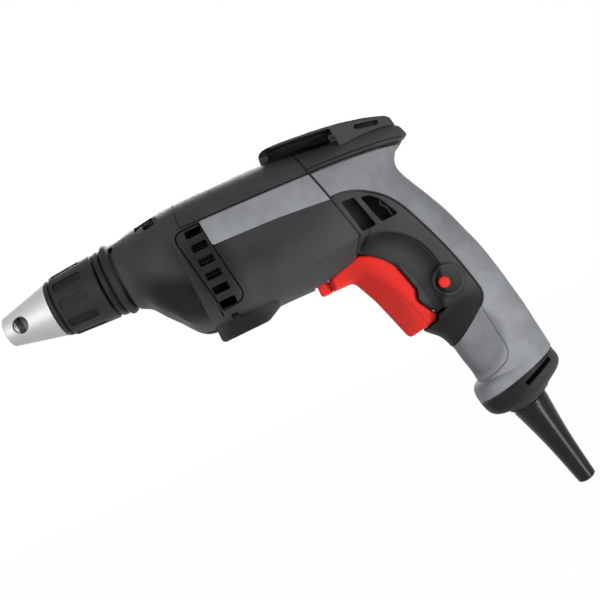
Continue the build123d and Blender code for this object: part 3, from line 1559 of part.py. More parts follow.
def lock_dish():
    """Hollow of the dished boss, which narrows to the button's bore."""
    rim = Plane((LOCK_BOSS_X, LOCK_RIM_Y - 0.01, LOCK_BOSS_Z), z_dir=(0, 1, 0))
    floor = Plane((LOCK_X, LOCK_FLOOR_Y, LOCK_Z), z_dir=(0, 1, 0))
    wires = [
        rim * Wire.make_circle(LOCK_BOSS_R - 1.3),
        floor * Wire.make_circle(LOCK_R + 1.2),
    ]
    bore = pin(LOCK_X, LOCK_Z, LOCK_RIM_Y, 0, LOCK_R + SLIDE_FIT)
    pocket = pin(LOCK_X, LOCK_Z, LOCK_INNER_Y, 0, LOCK_FLANGE_R + SLIDE_FIT)
    return Solid.make_loft(wires) + bore + pocket


def guard_axis():
    """Plane at the guard's inner end with its axis outwards."""
    root = Vector(GUARD_ROOT[0], 0, GUARD_ROOT[1])
    end = Vector(GUARD_END[0], 0, GUARD_END[1])
    return Plane(root, x_dir=(0, 1, 0), z_dir=(end - root).normalized()), (end - root).length


def cord_guard():
    """Tapered rubber guard with a flange inside the handle end."""
    plane, length = guard_axis()
    flange_start = 1.5
    neck_start = flange_start + GUARD_FLANGE_WIDTH
    base = neck_start + GUARD_NECK_LENGTH
    foot = base + 3.0
    root = Polyline(
        (GUARD_BORE_R, flange_start),
        (GUARD_FLANGE_R, flange_start),
        (GUARD_FLANGE_R, neck_start),
        (GUARD_NECK_R, neck_start),
        (GUARD_NECK_R, base),
        (GUARD_BASE_R - 0.4, base),
        (GUARD_BASE_R, base + 0.6),
        (GUARD_BASE_R, foot),
    )
    taper = Spline(
        (GUARD_BASE_R, foot),
        *[(r, foot + (length - foot) * share) for share, r in GUARD_TAPER],
        (GUARD_TIP_R, length - 0.8),
    )
    tip = Polyline(
        (GUARD_TIP_R, length - 0.8),
        (GUARD_TIP_R - 0.8, length),
        (GUARD_BORE_R, length),
        (GUARD_BORE_R, flange_start),
    )
    outline = Wire([*root.edges(), taper, *tip.edges()])
    face = make_face(Plane.XZ * outline)
    return plane * revolve(face, Axis.Z, 360)


def guard_room(solid_boss):
    """Boss that holds the guard, or the hollow that it leaves for the flange and neck."""
    plane, _ = guard_axis()
    low = (Align.CENTER, Align.CENTER, Align.MIN)
    neck_start = 1.5 + GUARD_FLANGE_WIDTH
    if solid_boss:
        return plane * Cylinder(GUARD_BOSS_R, neck_start + GUARD_NECK_LENGTH - 0.3, align=low)
    flange = Pos(0, 0, -4) * Cylinder(GUARD_FLANGE_R + SLIDE_FIT, neck_start + 4.2, align=low)
    neck = Cylinder(GUARD_NECK_R + SLIDE_FIT, 30, align=low)
    return plane * (flange + neck)


def windows():
    """Rear air windows in the side of the handle."""
    first = side_outline((193.2, -17.3, 1.0), (200.6, -17.9, 1.0), (205.8, -35.6, 1.0), (197.0, -35.8, 1.0))
    second = side_outline(
        (203.6, -19.0, 1.0),
        (209.0, -20.2, 2.0),
        (213.2, -24.2, 3.0),
        (218.6, -35.4, 1.0),
        (208.9, -35.6, 1.0),
    )
    return side_prism(first) + side_prism(second)


def finger_channel():
    """Sunk channel for the finger round the trigger."""
    line = Spline(*[(x, 0, z) for x, z in CHANNEL_LINE])
    rest = Polyline(*[(x, 0, z) for x, z in (CHANNEL_LINE[-1], *CHANNEL_REST, CHANNEL_LINE[0])])
    return side_prism(make_face(Wire([line, *rest.edges()])))


def grip_dish():
    """Shallow dish in the lower grip."""
    line = Spline(*[(x, 0, z) for x, z in DISH_LINE])
    rest = Polyline(*[(x, 0, z) for x, z in (DISH_LINE[-1], *DISH_REST, DISH_LINE[0])])
    return side_prism(make_face(Wire([line, *rest.edges()])))


def below_skin(cutter, depth):
    """Cutter that only reaches a depth below the outer form."""
    cutter = cutter - barrel_solid(depth) - grip_solid(HANDLE_SECTIONS, depth)
    return cutter - grip_solid(FOOT_SECTIONS, depth)


def shell_bosses(body):
    """Screw bosses across the handle."""
    bosses = None
    for x, z in HANDLE_SCREWS:
        boss = pin(x, z, -40, 40, SCREW_BOSS_R)
        bosses = boss if bosses is None else bosses + boss
    return bosses & body


def shell_ribs(body):
    """Ribs that hold the switch and the capacitor between the shells."""
    ribs = None
    room = SWITCH_HALF_WIDTH + SEAT_FIT
    for z in (SWITCH_TOP - 6.0, SWITCH_TOP - SWITCH_HEIGHT + 5.0):
        for side in (-1, 1):
            low, high = sorted((side * room, side * 40.0))
            rib = block(SWITCH_X + 8.0, SWITCH_X + SWITCH_DEPTH - 2, low, high, z - 1, z + 1)
            ribs = rib if ribs is None else ribs + rib
    for x in (CAPACITOR_X + 3.0, CAPACITOR_X + CAPACITOR_DEPTH - 5.0):
        for side in (-1, 1):
            low, high = sorted((side * (CAPACITOR_HALF_WIDTH + SEAT_FIT), side * 40.0))
            ribs += block(x, x + 2, low, high, CAPACITOR_Z - 6, CAPACITOR_Z + 6)
    return ribs & body


def suppressor_capacitor():
    """Suppressor block in the grip."""
    body = block(
        CAPACITOR_X,
        CAPACITOR_X + CAPACITOR_DEPTH,
        -CAPACITOR_HALF_WIDTH,
        CAPACITOR_HALF_WIDTH,
        CAPACITOR_Z - CAPACITOR_HALF_HEIGHT,
        CAPACITOR_Z + CAPACITOR_HALF_HEIGHT,
    )
    return fillet(body.edges(), 1.0)


def cable_clamp():
    """Clamp bar over the cord's place."""
    bar = block(
        CLAMP_POSTS[0] - CLAMP_HALF_HEIGHT,
        CLAMP_POSTS[1] + CLAMP_HALF_HEIGHT,
        CLAMP_Y - CLAMP_THICKNESS,
        CLAMP_Y,
        CLAMP_Z - CLAMP_HALF_HEIGHT,
        CLAMP_Z + CLAMP_HALF_HEIGHT,
    )
    for x in CLAMP_POSTS:
        bar -= pin(x, CLAMP_Z, -20, 0, SCREW_R + 0.2)
    return fillet(bar.edges().filter_by(Axis.Y), 1.5)


def clamp_screws():
    """Screws of the cable clamp."""
    seat_y = CLAMP_Y - CLAMP_THICKNESS
    return [
        screw((x, seat_y, CLAMP_Z), (0, 1, 0), CLAMP_SCREW_LENGTH, CLAMP_HEAD_R) for x in CLAMP_POSTS
    ]


def clamp_posts(body):
    """Posts on the right shell under the cable clamp."""
    posts = None
    for x in CLAMP_POSTS:
        post = pin(x, CLAMP_Z, CLAMP_Y + SEAT_FIT, 40, CLAMP_POST_R)
        posts = post if posts is None else posts + post
    posts = posts & body
    for x in CLAMP_POSTS:
        posts -= pin(x, CLAMP_Z, CLAMP_Y - 1, CLAMP_Y + 8.0, SCREW_R + SEAT_FIT)
    return posts


def handle_screws():
    """Screws that join the handle shells, from the right side."""
    return [
        screw((x, HANDLE_SCREW_SHOULDER, z), (0, -1, 0), HANDLE_SCREW_LENGTH)
        for x, z in HANDLE_SCREWS
    ]


def screw_holes():
    """Holes for the handle screws, open to the right."""
    holes = None
    tip = HANDLE_SCREW_SHOULDER - HANDLE_SCREW_LENGTH - 0.5
    for x, z in HANDLE_SCREWS:
        hole = pin(x, z, tip, HANDLE_SCREW_SHOULDER + 1, SCREW_R + SEAT_FIT)
        hole += pin(x, z, HANDLE_SCREW_SHOULDER, 60, SCREW_HEAD_R + HEAD_ROOM)
        holes = hole if holes is None else holes + hole
    return holes


# Belt hook


def hook_wire(y, drop):
    """Side outline of the belt hook at a depth, running into the housing below its seat."""
    top = Spline(
        (165.0, 0, 25.6),
        (166.9, 0, 27.8),
        (172.0, 0, 28.8),
        (188.0, 0, 27.6),
        (205.0, 0, 25.2),
        (222.0, 0, 21.4),
        (236.4, 0, 16.4),
    )
    rear = Polyline((236.4, 0, 16.4), (238.5, 0, 14.4), (240.2, 0, 6.0), (206.6, 0, 8.0), (206.6, 0, 18.2))
    bend = ThreePointArc((206.6, 0, 18.2), (206.0, 0, 19.8), (204.2, 0, 20.7))
    under = Spline((204.2, 0, 20.7), (190.7, 0, 23.5), (178.0, 0, 24.5), (169.0, 0, 24.8), (165.0, 0, 25.6))
    return Pos(0, y, -drop) * Wire([top, *rear.edges(), bend, under])


def hook_plan():
    """Hook's outline from above, with rounded corners."""
    corners = HOOK_PLAN + [(x, -y, radius) for x, y, radius in reversed(HOOK_PLAN)]
    points = [(x, y, 0) for x, y, _ in corners]
    radii = [radius for _, _, radius in corners]
    return extrude(make_face(FilletPolyline(*points, radius=radii, close=True)), FAR, both=True)


def belt_hook(body):
    """Spring hook on top of the handle."""
    edges = [(-HOOK_HALF_WIDTH, HOOK_ARCH), (0, 0), (HOOK_HALF_WIDTH, HOOK_ARCH)]
    whole = Solid.make_loft([hook_wire(y, drop) for y, drop in edges])
    hook = whole & hook_plan()
    hook -= body
    for y, roof in HOOK_HOLLOW_STEPS:
        for low, high in ((-FAR, -y), (y, FAR)):
            reach = block(HOOK_HOLLOW_FRONT, HOOK_HOLLOW_REAR, low, high, -FAR, FAR)
            hook -= (Pos(0, 0, -roof) * whole) & reach
    hook -= side_slot(*HOOK_SLOT)
    for x, y in HOOK_SCREWS:
        at = Pos(x, y, 0)
        low = (Align.CENTER, Align.CENTER, Align.MIN)
        hook -= at * Cylinder(SCREW_R + SEAT_FIT, FAR, align=low)
        hook -= at * Pos(0, 0, HOOK_SCREW_TOP) * Cylinder(SCREW_HEAD_R + HEAD_ROOM, FAR, align=low)
    return hook


def hook_screws():
    """Screws of the belt hook."""
    return [screw((x, y, HOOK_SCREW_TOP), (0, 0, -1), HOOK_SCREW_LENGTH) for x, y in HOOK_SCREWS]


def hook_screw_holes():
    """Holes in the shells for the hook screws."""
    holes = None
    for x, y in HOOK_SCREWS:
        hole = Pos(x, y, HOOK_SCREW_TOP - HOOK_SCREW_LENGTH - 0.5) * Cylinder(
            SCREW_R + SEAT_FIT, 30, align=(Align.CENTER, Align.CENTER, Align.MIN)
        )
        holes = hole if holes is None else holes + hole
    return holes


def hook_posts(body):
    """Posts inside the shells under the hook screws."""
    posts = None
    for x, y in HOOK_SCREWS:
        post = Pos(x, y, HOOK_SCREW_TOP - HOOK_SCREW_LENGTH - 1.5) * Cylinder(
            HOOK_POST_R, 30, align=(Align.CENTER, Align.CENTER, Align.MIN)
        )
        posts = post if posts is None else posts + post
    return posts & body


def handle_pieces():
    """Handle shells and soft grips."""
    outer = rear_solid(0.0)
    region = handle_side(SEAM_GAP)
    grip_region = side_prism(grip_face())
    sunk = rear_solid(SKIN + SEAT_FIT)
    skin = ((outer & region) & grip_region) - rear_solid(SKIN)
    solid = (outer & region) - (grip_region - sunk)
    cavity = rear_solid(HANDLE_WALL)
    inner = rear_solid(HANDLE_WALL - 0.8)
    shell = solid - cavity
    shell += shell_bosses(inner & region)
    shell += shell_ribs(inner)
    shell += hook_posts(inner)
    shell += guard_room(True)
    shell -= guard_room(False)
    shell -= below_skin(finger_channel(), CHANNEL_DEPTH) + side_prism(side_outline(*FOOT_ROOM))
    shell += side_prism(side_outline(*LIP_CORNERS), LIP_HALF_WIDTH)
    shell -= trigger_room() + windows() + side_slot(*FOOT_SLOT) + side_slot(*FOOT_SLIT)
    for line in GRIP_GROOVES:
        shell -= below_skin(side_prism(strip_face(line, GROOVE_WIDTH)), GROOVE_DEPTH)
    shell -= screw_holes()
    shell -= hook_screw_holes()
    left_half = block(0, FAR * 2, -FAR, 0, -FAR, FAR)
    right_half = block(0, FAR * 2, 0, FAR, -FAR, FAR)
    left = (shell & left_half) + lock_boss()
    left -= lock_dish()
    posts = clamp_posts(inner)
    partition = block(PARTITION_FRONT, PARTITION_REAR, 0, PARTITION_THICKNESS, ARM_TOP_Z + 1.0, FAR)
    partition = partition & inner & region
    right = (shell & right_half) + posts + (partition - screw_holes())
    left -= posts
    grips = skin - trigger_room() - screw_holes() - lock_boss()
    grips -= below_skin(grip_dish(), DISH_DEPTH)
    return left, right, grips & left_half, grips & right_half


def solids_of(shape):
    """Solids in a shape or a list of shapes."""
    if isinstance(shape, (list, tuple)):
        found = []
        for item in shape:
            found.extend(solids_of(item))
        return found
    return list(shape.solids())


def write(name, shape):
    """Write a piece as one STEP file."""
    solids = solids_of(shape)
    whole = solids[0] if len(solids) == 1 else Compound(children=solids)
    export_step(whole, f"parts/{name}.step")
    print(name, len(solids), round(sum(s.volume for s in solids)))


def main():
    """Build every piece and write it."""
    os.makedirs("parts", exist_ok=True)
    front = case_side()
    everything = block(-FAR, FAR * 2, -FAR, FAR, -FAR, FAR)
    middle = everything - front - handle_side(0.0)
    case = case_solid(0.0)
    both = case + barrel_solid(0.0)
    both_hollow = case_solid(WALL) + barrel_solid(WALL)
    plate_room = case_solid(WALL + SEAT_FIT) + barrel_solid(WALL + SEAT_FIT)

    write("nose_cone", nose_cone())
    write("snap_ring", snap_ring())
    write("depth_sleeve", depth_sleeve())
    write("depth_collar", depth_collar())
    write("index_ring", index_ring())
    write("bit_holder", bit_holder())
    write("bit_magnet", bit_magnet())
    write("spindle", spindle())
    write("spindle_seal", spindle_seal())
    write("front_bush", front_bush())
    write("drive_gear", drive_gear())
    write("clutch_spring", clutch_spring())
    write("thrust_washer", thrust_washer())
    write("rear_bush", rear_bush())

    write("bearing_bridge", bearing_bridge(plate_room))
    write("armature_shaft", armature_shaft())
    write("armature_core", armature_core())
    write("armature_windings", armature_windings())
    write("commutator", commutator())
    write("cooling_fan", cooling_fan())
    write("front_bearing", front_bearing())
    write("rear_bearing", rear_bearing())
    write("air_baffle", air_baffle(plate_room))
    write("stator_core", stator_core())
    write("field_coils", field_coils())
    write("stator_screws", stator_screws())
    write("brush_carrier", brush_carrier())
    write("brush_holders", brush_holders())
    write("carbon_brushes", carbon_brushes())
    write("brush_springs", brush_springs())

    write("gear_housing", gear_housing(case, front))
    write("case_screws", case_screws())
    housing, band_left, band_right = motor_pieces(both, both_hollow, front, middle)
    write("motor_housing", housing)
    write("band_left", band_left)
    write("band_right", band_right)
    shell_left, shell_right, grip_left, grip_right = handle_pieces()
    write("handle_shell_left", shell_left)
    write("handle_shell_right", shell_right)
    write("grip_left", grip_left)
    write("grip_right", grip_right)
    write("handle_screws", handle_screws())
    write("belt_hook", belt_hook(barrel_solid(-SEAT_FIT)))
    write("hook_screws", hook_screws())

    write("trigger", trigger())
    write("trigger_spring", trigger_spring())
    write("switch_module", switch_module())
    write("reversing_lever", reversing_lever())
    write("lock_button", lock_button())
    write("lock_spring", lock_spring())
    write("suppressor_capacitor", suppressor_capacitor())
    write("cable_clamp", cable_clamp())
    write("clamp_screws", clamp_screws())
    write("cord_guard", cord_guard())


if __name__ == "__main__":
    main()
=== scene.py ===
"""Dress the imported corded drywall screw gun: finishes, fine pieces, light and camera."""

from __future__ import annotations

import json
import logging
import math
from collections.abc import Callable
from dataclasses import dataclass
from enum import Enum

import bpy
from mathutils import Matrix, Vector

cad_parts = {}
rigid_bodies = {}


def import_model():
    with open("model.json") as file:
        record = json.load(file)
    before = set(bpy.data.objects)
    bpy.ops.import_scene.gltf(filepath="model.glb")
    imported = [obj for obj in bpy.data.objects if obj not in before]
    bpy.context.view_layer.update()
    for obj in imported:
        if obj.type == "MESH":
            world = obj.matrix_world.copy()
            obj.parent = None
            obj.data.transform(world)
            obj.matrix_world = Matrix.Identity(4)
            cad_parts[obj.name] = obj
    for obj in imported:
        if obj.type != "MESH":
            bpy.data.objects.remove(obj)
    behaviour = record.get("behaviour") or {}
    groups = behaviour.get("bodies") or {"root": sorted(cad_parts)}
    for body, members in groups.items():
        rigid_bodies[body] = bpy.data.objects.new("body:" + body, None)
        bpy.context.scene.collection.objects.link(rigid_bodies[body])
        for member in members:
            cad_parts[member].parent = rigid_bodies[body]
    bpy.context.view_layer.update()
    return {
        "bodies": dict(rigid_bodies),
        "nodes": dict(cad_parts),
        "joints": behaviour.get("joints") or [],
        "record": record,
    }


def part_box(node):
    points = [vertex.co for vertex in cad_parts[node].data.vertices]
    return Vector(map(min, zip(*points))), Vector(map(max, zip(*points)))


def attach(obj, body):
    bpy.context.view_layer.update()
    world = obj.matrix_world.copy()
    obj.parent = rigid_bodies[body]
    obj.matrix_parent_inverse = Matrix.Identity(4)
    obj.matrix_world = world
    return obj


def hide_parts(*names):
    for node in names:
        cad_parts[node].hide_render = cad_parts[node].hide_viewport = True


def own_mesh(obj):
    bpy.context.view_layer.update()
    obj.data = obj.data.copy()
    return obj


LOG = logging.getLogger("screw_gun")
MM = 0.001
# Points of a copied CAD mesh that are nearer than this are one point.
MERGE_DISTANCE = 0.002 * MM
# An edge whose direction has at least this share of an axis runs along it.
ALONG_AXIS = 0.9
WHITE = (1.0, 1.0, 1.0, 1.0)
UP = Vector((0.0, 0.0, 1.0))
BACK = Vector((0.0, 1.0, 0.0))

Colour = tuple[float, float, float]
Point = tuple[float, float, float]
Pair = tuple[float, float]
Socket = bpy.types.NodeSocket


class Body(str, Enum):
    """Names of the CAD bodies that the new pieces ride on."""

    HOUSING = "housing"
    GEAR = "gear"
    TRIGGER = "trigger"


class Slot(str, Enum):
    """Names of the record's material slots."""

    BODY = "body_plastic"
    COLLAR = "collar_plastic"
    GRIP = "soft_grip"
    RED = "red_plastic"
    RUBBER = "guard_rubber"
    NOSE = "nose_steel"
    STEEL = "steel"
    SCREW = "black_steel"
    LAMINATION = "lamination"
    COPPER = "copper"
    BRASS = "brass"
    BRONZE = "bronze"
    CAST = "cast_aluminium"
    INNER = "inner_plastic"
    CARBON = "carbon"
    MAGNET = "magnet"
    CAPACITOR = "capacitor"


class NodeBench:
    """Places and joins shader nodes in one node tree."""

    def __init__(self, tree: bpy.types.NodeTree) -> None:
        """Take hold of a tree and clear it."""
        self.tree = tree
        self.tree.nodes.clear()

    def add(self, kind: str, settings: dict | None = None, **inputs: object) -> bpy.types.Node:
        """Add a node and fill its sockets.

        Args:
            kind: The node's type name.
            settings: Properties of the node itself.
            **inputs: Socket values or sockets to link, by socket name with _ for a space.

        Returns:
            The new node.
        """
        node = self.tree.nodes.new(kind)
        for key, value in (settings or {}).items():
            setattr(node, key, value)
        self.fill(node, **inputs)
        return node

    def fill(self, node: bpy.types.Node, **inputs: object) -> None:
        """Fill a node's sockets, by socket name with _ for a space."""
        for key, value in inputs.items():
            self.feed(node.inputs[key.replace("_", " ")], value)

    def feed(self, socket: Socket, value: object) -> None:
        """Link a socket to another one, or set it to a constant."""
        if isinstance(value, Socket):
            self.tree.links.new(value, socket)
        else:
            socket.default_value = value

    def line_up(self, node: bpy.types.Node, *values: object) -> bpy.types.Node:
        """Fill a node's sockets in their order and return the node."""
        for socket, value in zip(node.inputs, values):
            self.feed(socket, value)
        return node

    def maths(self, operation: str, *terms: object) -> Socket:
        """Add a Math node and return its value."""
        return self.line_up(self.add("ShaderNodeMath", {"operation": operation}), *terms).outputs["Value"]

    def chain(self, operation: str, *terms: object) -> Socket:
        """Join terms by one operation, from the first to the last.

        Args:
            operation: Name of the Math node's operation.
            *terms: Two or more numbers or sockets.

        Returns:
            The last node's value.
        """
        result = terms[0]
        for term in terms[1:]:
            result = self.maths(operation, result, term)
        return result

    def times(self, *terms: object) -> Socket:
        """Multiply the terms."""
        return self.chain("MULTIPLY", *terms)

    def plus(self, *terms: object) -> Socket:
        """Add the terms."""
        return self.chain("ADD", *terms)

    def minus(self, first: object, second: object) -> Socket:
        """Subtract the second term from the first."""
        return self.maths("SUBTRACT", first, second)

    def length(self, first: object, second: object) -> Socket:
        """Return the length of a vector by its two parts."""
        return self.maths("SQRT", self.plus(self.times(first, first), self.times(second, second)))

    def place(self) -> Socket:
        """Return the object coordinates."""
        return self.add("ShaderNodeTexCoord").outputs["Object"]

    def axes(self) -> bpy.types.bpy_prop_collection:
        """Return the object coordinates' X, Y and Z."""
        return self.add("ShaderNodeSeparateXYZ", Vector=self.place()).outputs

    def noise(self, vector: Socket, scale: object, detail: float) -> Socket:
        """Add a noise texture on the given coordinates and return its value."""
        return self.add("ShaderNodeTexNoise", Vector=vector, Scale=scale, Detail=detail).outputs["Fac"]

    def ramp(self, value: Socket, low: object, high: object, out: Pair) -> Socket:
        """Map a value from one range to another, smoothly and clamped.

        Args:
            value: The socket to map.
            low: Value that gives the first output.
            high: Value that gives the second output.
            out: The two outputs.

        Returns:
            The mapped value.
        """
        node = self.add("ShaderNodeMapRange", {"interpolation_type": "SMOOTHSTEP"})
        return self.line_up(node, value, low, high, *out).outputs["Result"]

    def rise(self, value: Socket, low: object, high: object) -> Socket:
        """Map a range to 0 up to 1."""
        return self.ramp(value, low, high, (0.0, 1.0))

    def fall(self, value: Socket, low: object, high: object) -> Socket:
        """Map a range to 1 down to 0."""
        return self.ramp(value, low, high, (1.0, 0.0))


class GroupBench(NodeBench):
    """Builds one shared shader group that takes and gives numbers."""

    def __init__(self, name: str, inputs: tuple[str, ...], outputs: tuple[str, ...]) -> None:
        """Make an empty group.

        Args:
            name: The group's name.
            inputs: Names of the numbers that it takes.
            outputs: Names of the numbers that it gives.
        """
        super().__init__(bpy.data.node_groups.new(name, "ShaderNodeTree"))
        for way, names in (("INPUT", inputs), ("OUTPUT", outputs)):
            for text in names:
                self.tree.interface.new_socket(text, in_out=way, socket_type="NodeSocketFloat")
        self.taken = self.add("NodeGroupInput").outputs
        self.given = self.add("NodeGroupOutput")

    def close(self, **results: Socket) -> bpy.types.NodeTree:
        """Join the results to the group's outputs and return its tree."""
        self.fill(self.given, **results)
        return self.tree


class ShaderShelf:
    """Builds each shared shader group once."""

    def __init__(self) -> None:
        """Start with no groups built."""
        self.groups: dict[str, bpy.types.NodeTree] = {}

    def group(self, name: str) -> bpy.types.NodeTree:
        """Return a shared group, building it on its first use."""
        if name not in self.groups:
            self.groups[name] = getattr(self, f"_{name}")()
        return self.groups[name]

    @staticmethod
    def _moulded_grain() -> bpy.types.NodeTree:
        """Build spark-eroded mould grain with slow drifts of tone."""
        middle, speck, fine_rough = 0.5, 0.22, 0.3
        bench = GroupBench("moulded_grain", ("Grain", "Drift", "Spread"), ("Tone", "Rough", "Height"))
        place = bench.place()
        fine = bench.noise(place, bench.taken["Grain"], detail=3.0)
        slow = bench.noise(place, bench.taken["Drift"], detail=2.0)
        swing = bench.times(bench.minus(slow, middle), bench.taken["Spread"])
        specks = bench.times(bench.minus(fine, middle), speck)
        rough = bench.plus(slow, bench.times(fine, fine_rough))
        return bench.close(Tone=bench.plus(1.0, swing, specks), Rough=rough, Height=fine)

    @staticmethod
    def _handling_scuff() -> bpy.types.NodeTree:
        """Build sparse fine scratches and rubbed spots from use."""
        turn, stretch, spots = (0.3, 0.5, 0.9), (60.0, 420.0, 900.0), 45.0
        hair_range, spot_range = (0.62, 0.74), (0.5, 0.7)
        bench = GroupBench("handling_scuff", ("Density",), ("Mask",))
        place = bench.place()
        turned = bench.add("ShaderNodeMapping", Vector=place, Rotation=turn, Scale=stretch)
        hairs = bench.rise(bench.noise(turned.outputs["Vector"], 1.0, detail=4.0), *hair_range)
        where = bench.rise(bench.noise(place, spots, detail=2.0), *spot_range)
        return bench.close(Mask=bench.times(hairs, where, bench.taken["Density"]))

    @staticmethod
    def _soft_mottle() -> bpy.types.NodeTree:
        """Build the cloudy two-scale mottle of soft over-moulding, and its fine pebbling."""
        cloud_share, patch_share, patch_scale, cloud_height = 0.45, 0.55, 0.35, 0.35
        mix_range, tones, blue_range = (0.32, 0.68), (0.82, 1.14), (0.35, 0.7)
        bench = GroupBench("soft_mottle", ("Cloud", "Pebble"), ("Tone", "Blue", "Height"))
        place = bench.place()
        cloud = bench.noise(place, bench.taken["Cloud"], detail=3.0)
        patch = bench.noise(place, bench.times(bench.taken["Cloud"], patch_scale), detail=2.0)
        pebble = bench.noise(place, bench.taken["Pebble"], detail=2.0)
        mix = bench.plus(bench.times(cloud, cloud_share), bench.times(patch, patch_share))
        height = bench.plus(pebble, bench.times(cloud, cloud_height))
        blue = bench.rise(patch, *blue_range)
        return bench.close(Tone=bench.ramp(mix, *mix_range, tones), Blue=blue, Height=height)

    @staticmethod
    def _recess_grime() -> bpy.types.NodeTree:
        """Build painted shade: a tone that darkens grooves and inner corners where the surface closes in.
        """
        settings, shut_range = {"samples": 8, "only_local": True}, (0.35, 0.92)
        bench = GroupBench("recess_grime", ("Reach", "Hold"), ("Tone",))
        shade = bench.add("ShaderNodeAmbientOcclusion", settings, Distance=bench.taken["Reach"])
        shut = bench.fall(shade.outputs["AO"], *shut_range)
        return bench.close(Tone=bench.minus(1.0, bench.times(shut, bench.taken["Hold"])))

    @staticmethod
    def _side_patch() -> bpy.types.NodeTree:
        """Build the mask of an oval of painted shade on a side, from its inner share of the radius to its
        rim.
        """
        front_fade, edge_fade = 6.0 * MM, 0.5 * MM
        oval = ("Centre X", "Centre Z", "Half Length", "Half Height", "Run X", "Run Z")
        bench = GroupBench("side_patch", (*oval, "Inner", "Soft", "Front", "Rear", "Depth"), ("Mask",))
        taken, axes = bench.taken, bench.axes()
        x = bench.minus(axes["X"], taken["Centre X"])
        z = bench.minus(axes["Z"], taken["Centre Z"])
        along = bench.plus(bench.times(x, taken["Run X"]), bench.times(z, taken["Run Z"]))
        beside = bench.minus(bench.times(z, taken["Run X"]), bench.times(x, taken["Run Z"]))
        along = bench.maths("DIVIDE", along, taken["Half Length"])
        beside = bench.maths("DIVIDE", beside, taken["Half Height"])
        reach = bench.length(along, beside)
        rise = bench.rise(reach, taken["Inner"], 1.0)
        stop = bench.fall(reach, bench.minus(1.0, taken["Soft"]), bench.plus(1.0, taken["Soft"]))
        start = bench.rise(axes["X"], taken["Front"], bench.plus(taken["Front"], front_fade))
        finish = bench.fall(axes["X"], bench.minus(taken["Rear"], edge_fade), taken["Rear"])
        aside = bench.maths("ABSOLUTE", axes["Y"])
        within = bench.fall(aside, bench.minus(taken["Depth"], edge_fade), taken["Depth"])
        return bench.close(Mask=bench.times(rise, stop, start, finish, within))

    @staticmethod
    def _flute_shade() -> bpy.types.NodeTree:
        """Build the painted shade mask of what lies below the lands of a turned taper about the X axis."""
        depth_range = (0.25, 0.9)
        names = ("Front X", "Rear X", "Front Radius", "Slope", "Depth")
        bench = GroupBench("flute_shade", names, ("Mask",))
        taken, axes = bench.taken, bench.axes()
        run = bench.minus(axes["X"], taken["Front X"])
        land = bench.plus(taken["Front Radius"], bench.times(run, taken["Slope"]))
        below = bench.minus(land, bench.length(axes["Y"], axes["Z"]))
        share = bench.maths("DIVIDE", below, taken["Depth"])
        before = bench.maths("LESS_THAN", axes["X"], taken["Rear X"])
        behind = bench.maths("GREATER_THAN", run, 0.0)
        return bench.close(Mask=bench.times(before, behind, bench.rise(share, *depth_range)))

    @staticmethod
    def _lathe_lines() -> bpy.types.NodeTree:
        """Build fine rings of a turned surface about the X axis."""
        smear_scale, smear_share = 90.0, 0.5
        bench = GroupBench("lathe_lines", ("Rings",), ("Line", "Height"))
        spread = bench.add("ShaderNodeCombineXYZ", X=bench.times(bench.axes()["X"], bench.taken["Rings"]))
        ring = bench.noise(spread.outputs["Vector"], 1.0, detail=5.0)
        smear = bench.noise(bench.place(), smear_scale, detail=2.0)
        return bench.close(Line=bench.plus(ring, bench.times(smear, smear_share)), Height=ring)


class MaterialBench(NodeBench):
    """Builds one material round a Principled shader, with the shared groups at hand."""

    def __init__(self, name: str, shelf: ShaderShelf, edge: float) -> None:
        """Start a material.

        Args:
            name: The material's name.
            shelf: The shared shader groups.
            edge: Radius of its rounded edges in metres.
        """
        self.material = bpy.data.materials.new(name)
        self.material.use_nodes = True
        super().__init__(self.material.node_tree)
        self.shelf = shelf
        self.shader = self.add("ShaderNodeBsdfPrincipled")
        self.add("ShaderNodeOutputMaterial", Surface=self.shader.outputs["BSDF"])
        self.normal = self.add("ShaderNodeBevel", {"samples": 4}, Radius=edge).outputs["Normal"]

    def group(self, name: str, **inputs: object) -> bpy.types.bpy_prop_collection:
        """Place a shared group, fill its inputs and return its outputs."""
        return self.add("ShaderNodeGroup", {"node_tree": self.shelf.group(name)}, **inputs).outputs

    def paint(self, **inputs: object) -> None:
        """Fill the shader's sockets, by socket name with _ for a space."""
        self.fill(self.shader, **inputs)

    def scaled(self, colour: Colour | Socket, tone: Socket) -> Socket:
        """Multiply a colour by a tone that changes over the surface."""
        node = self.add("ShaderNodeVectorMath", {"operation": "SCALE"}, Scale=tone)
        return self.line_up(node, colour).outputs["Vector"]

    def blended(self, mask: Socket, first: Colour | Socket, second: Colour) -> Socket:
        """Mix two colours by a mask.

        Args:
            mask: The mask's socket.
            first: Colour at mask 0.
            second: Colour at mask 1.

        Returns:
            The mixed colour.
        """
        start = (*first, 1.0) if isinstance(first, tuple) else first
        node = self.add("ShaderNodeMix", {"data_type": "RGBA"}, Factor=mask, A=start, B=(*second, 1.0))
        return node.outputs["Result"]

    def bump(self, height: Socket, depth: float) -> Socket:
        """Return the normal of a relief that is so many metres deep."""
        node = self.add("ShaderNodeBump", Height=height, Strength=1.0, Distance=depth, Normal=self.normal)
        return node.outputs["Normal"]


@dataclass(frozen=True)
class Shade:
    """Painted shade: part of a surface whose colour is darker, by the share that it holds back."""

    GROUP = ""

    hold: float

    def inputs(self) -> dict[str, float]:
        """Return the inputs of the shade's group; each kind of shade has its own."""
        raise NotImplementedError

    def tone(self, bench: MaterialBench) -> Socket:
        """Return a tone that is 1 outside the shade."""
        mask = bench.group(self.GROUP, **self.inputs())["Mask"]
        return bench.minus(1.0, bench.times(mask, self.hold))


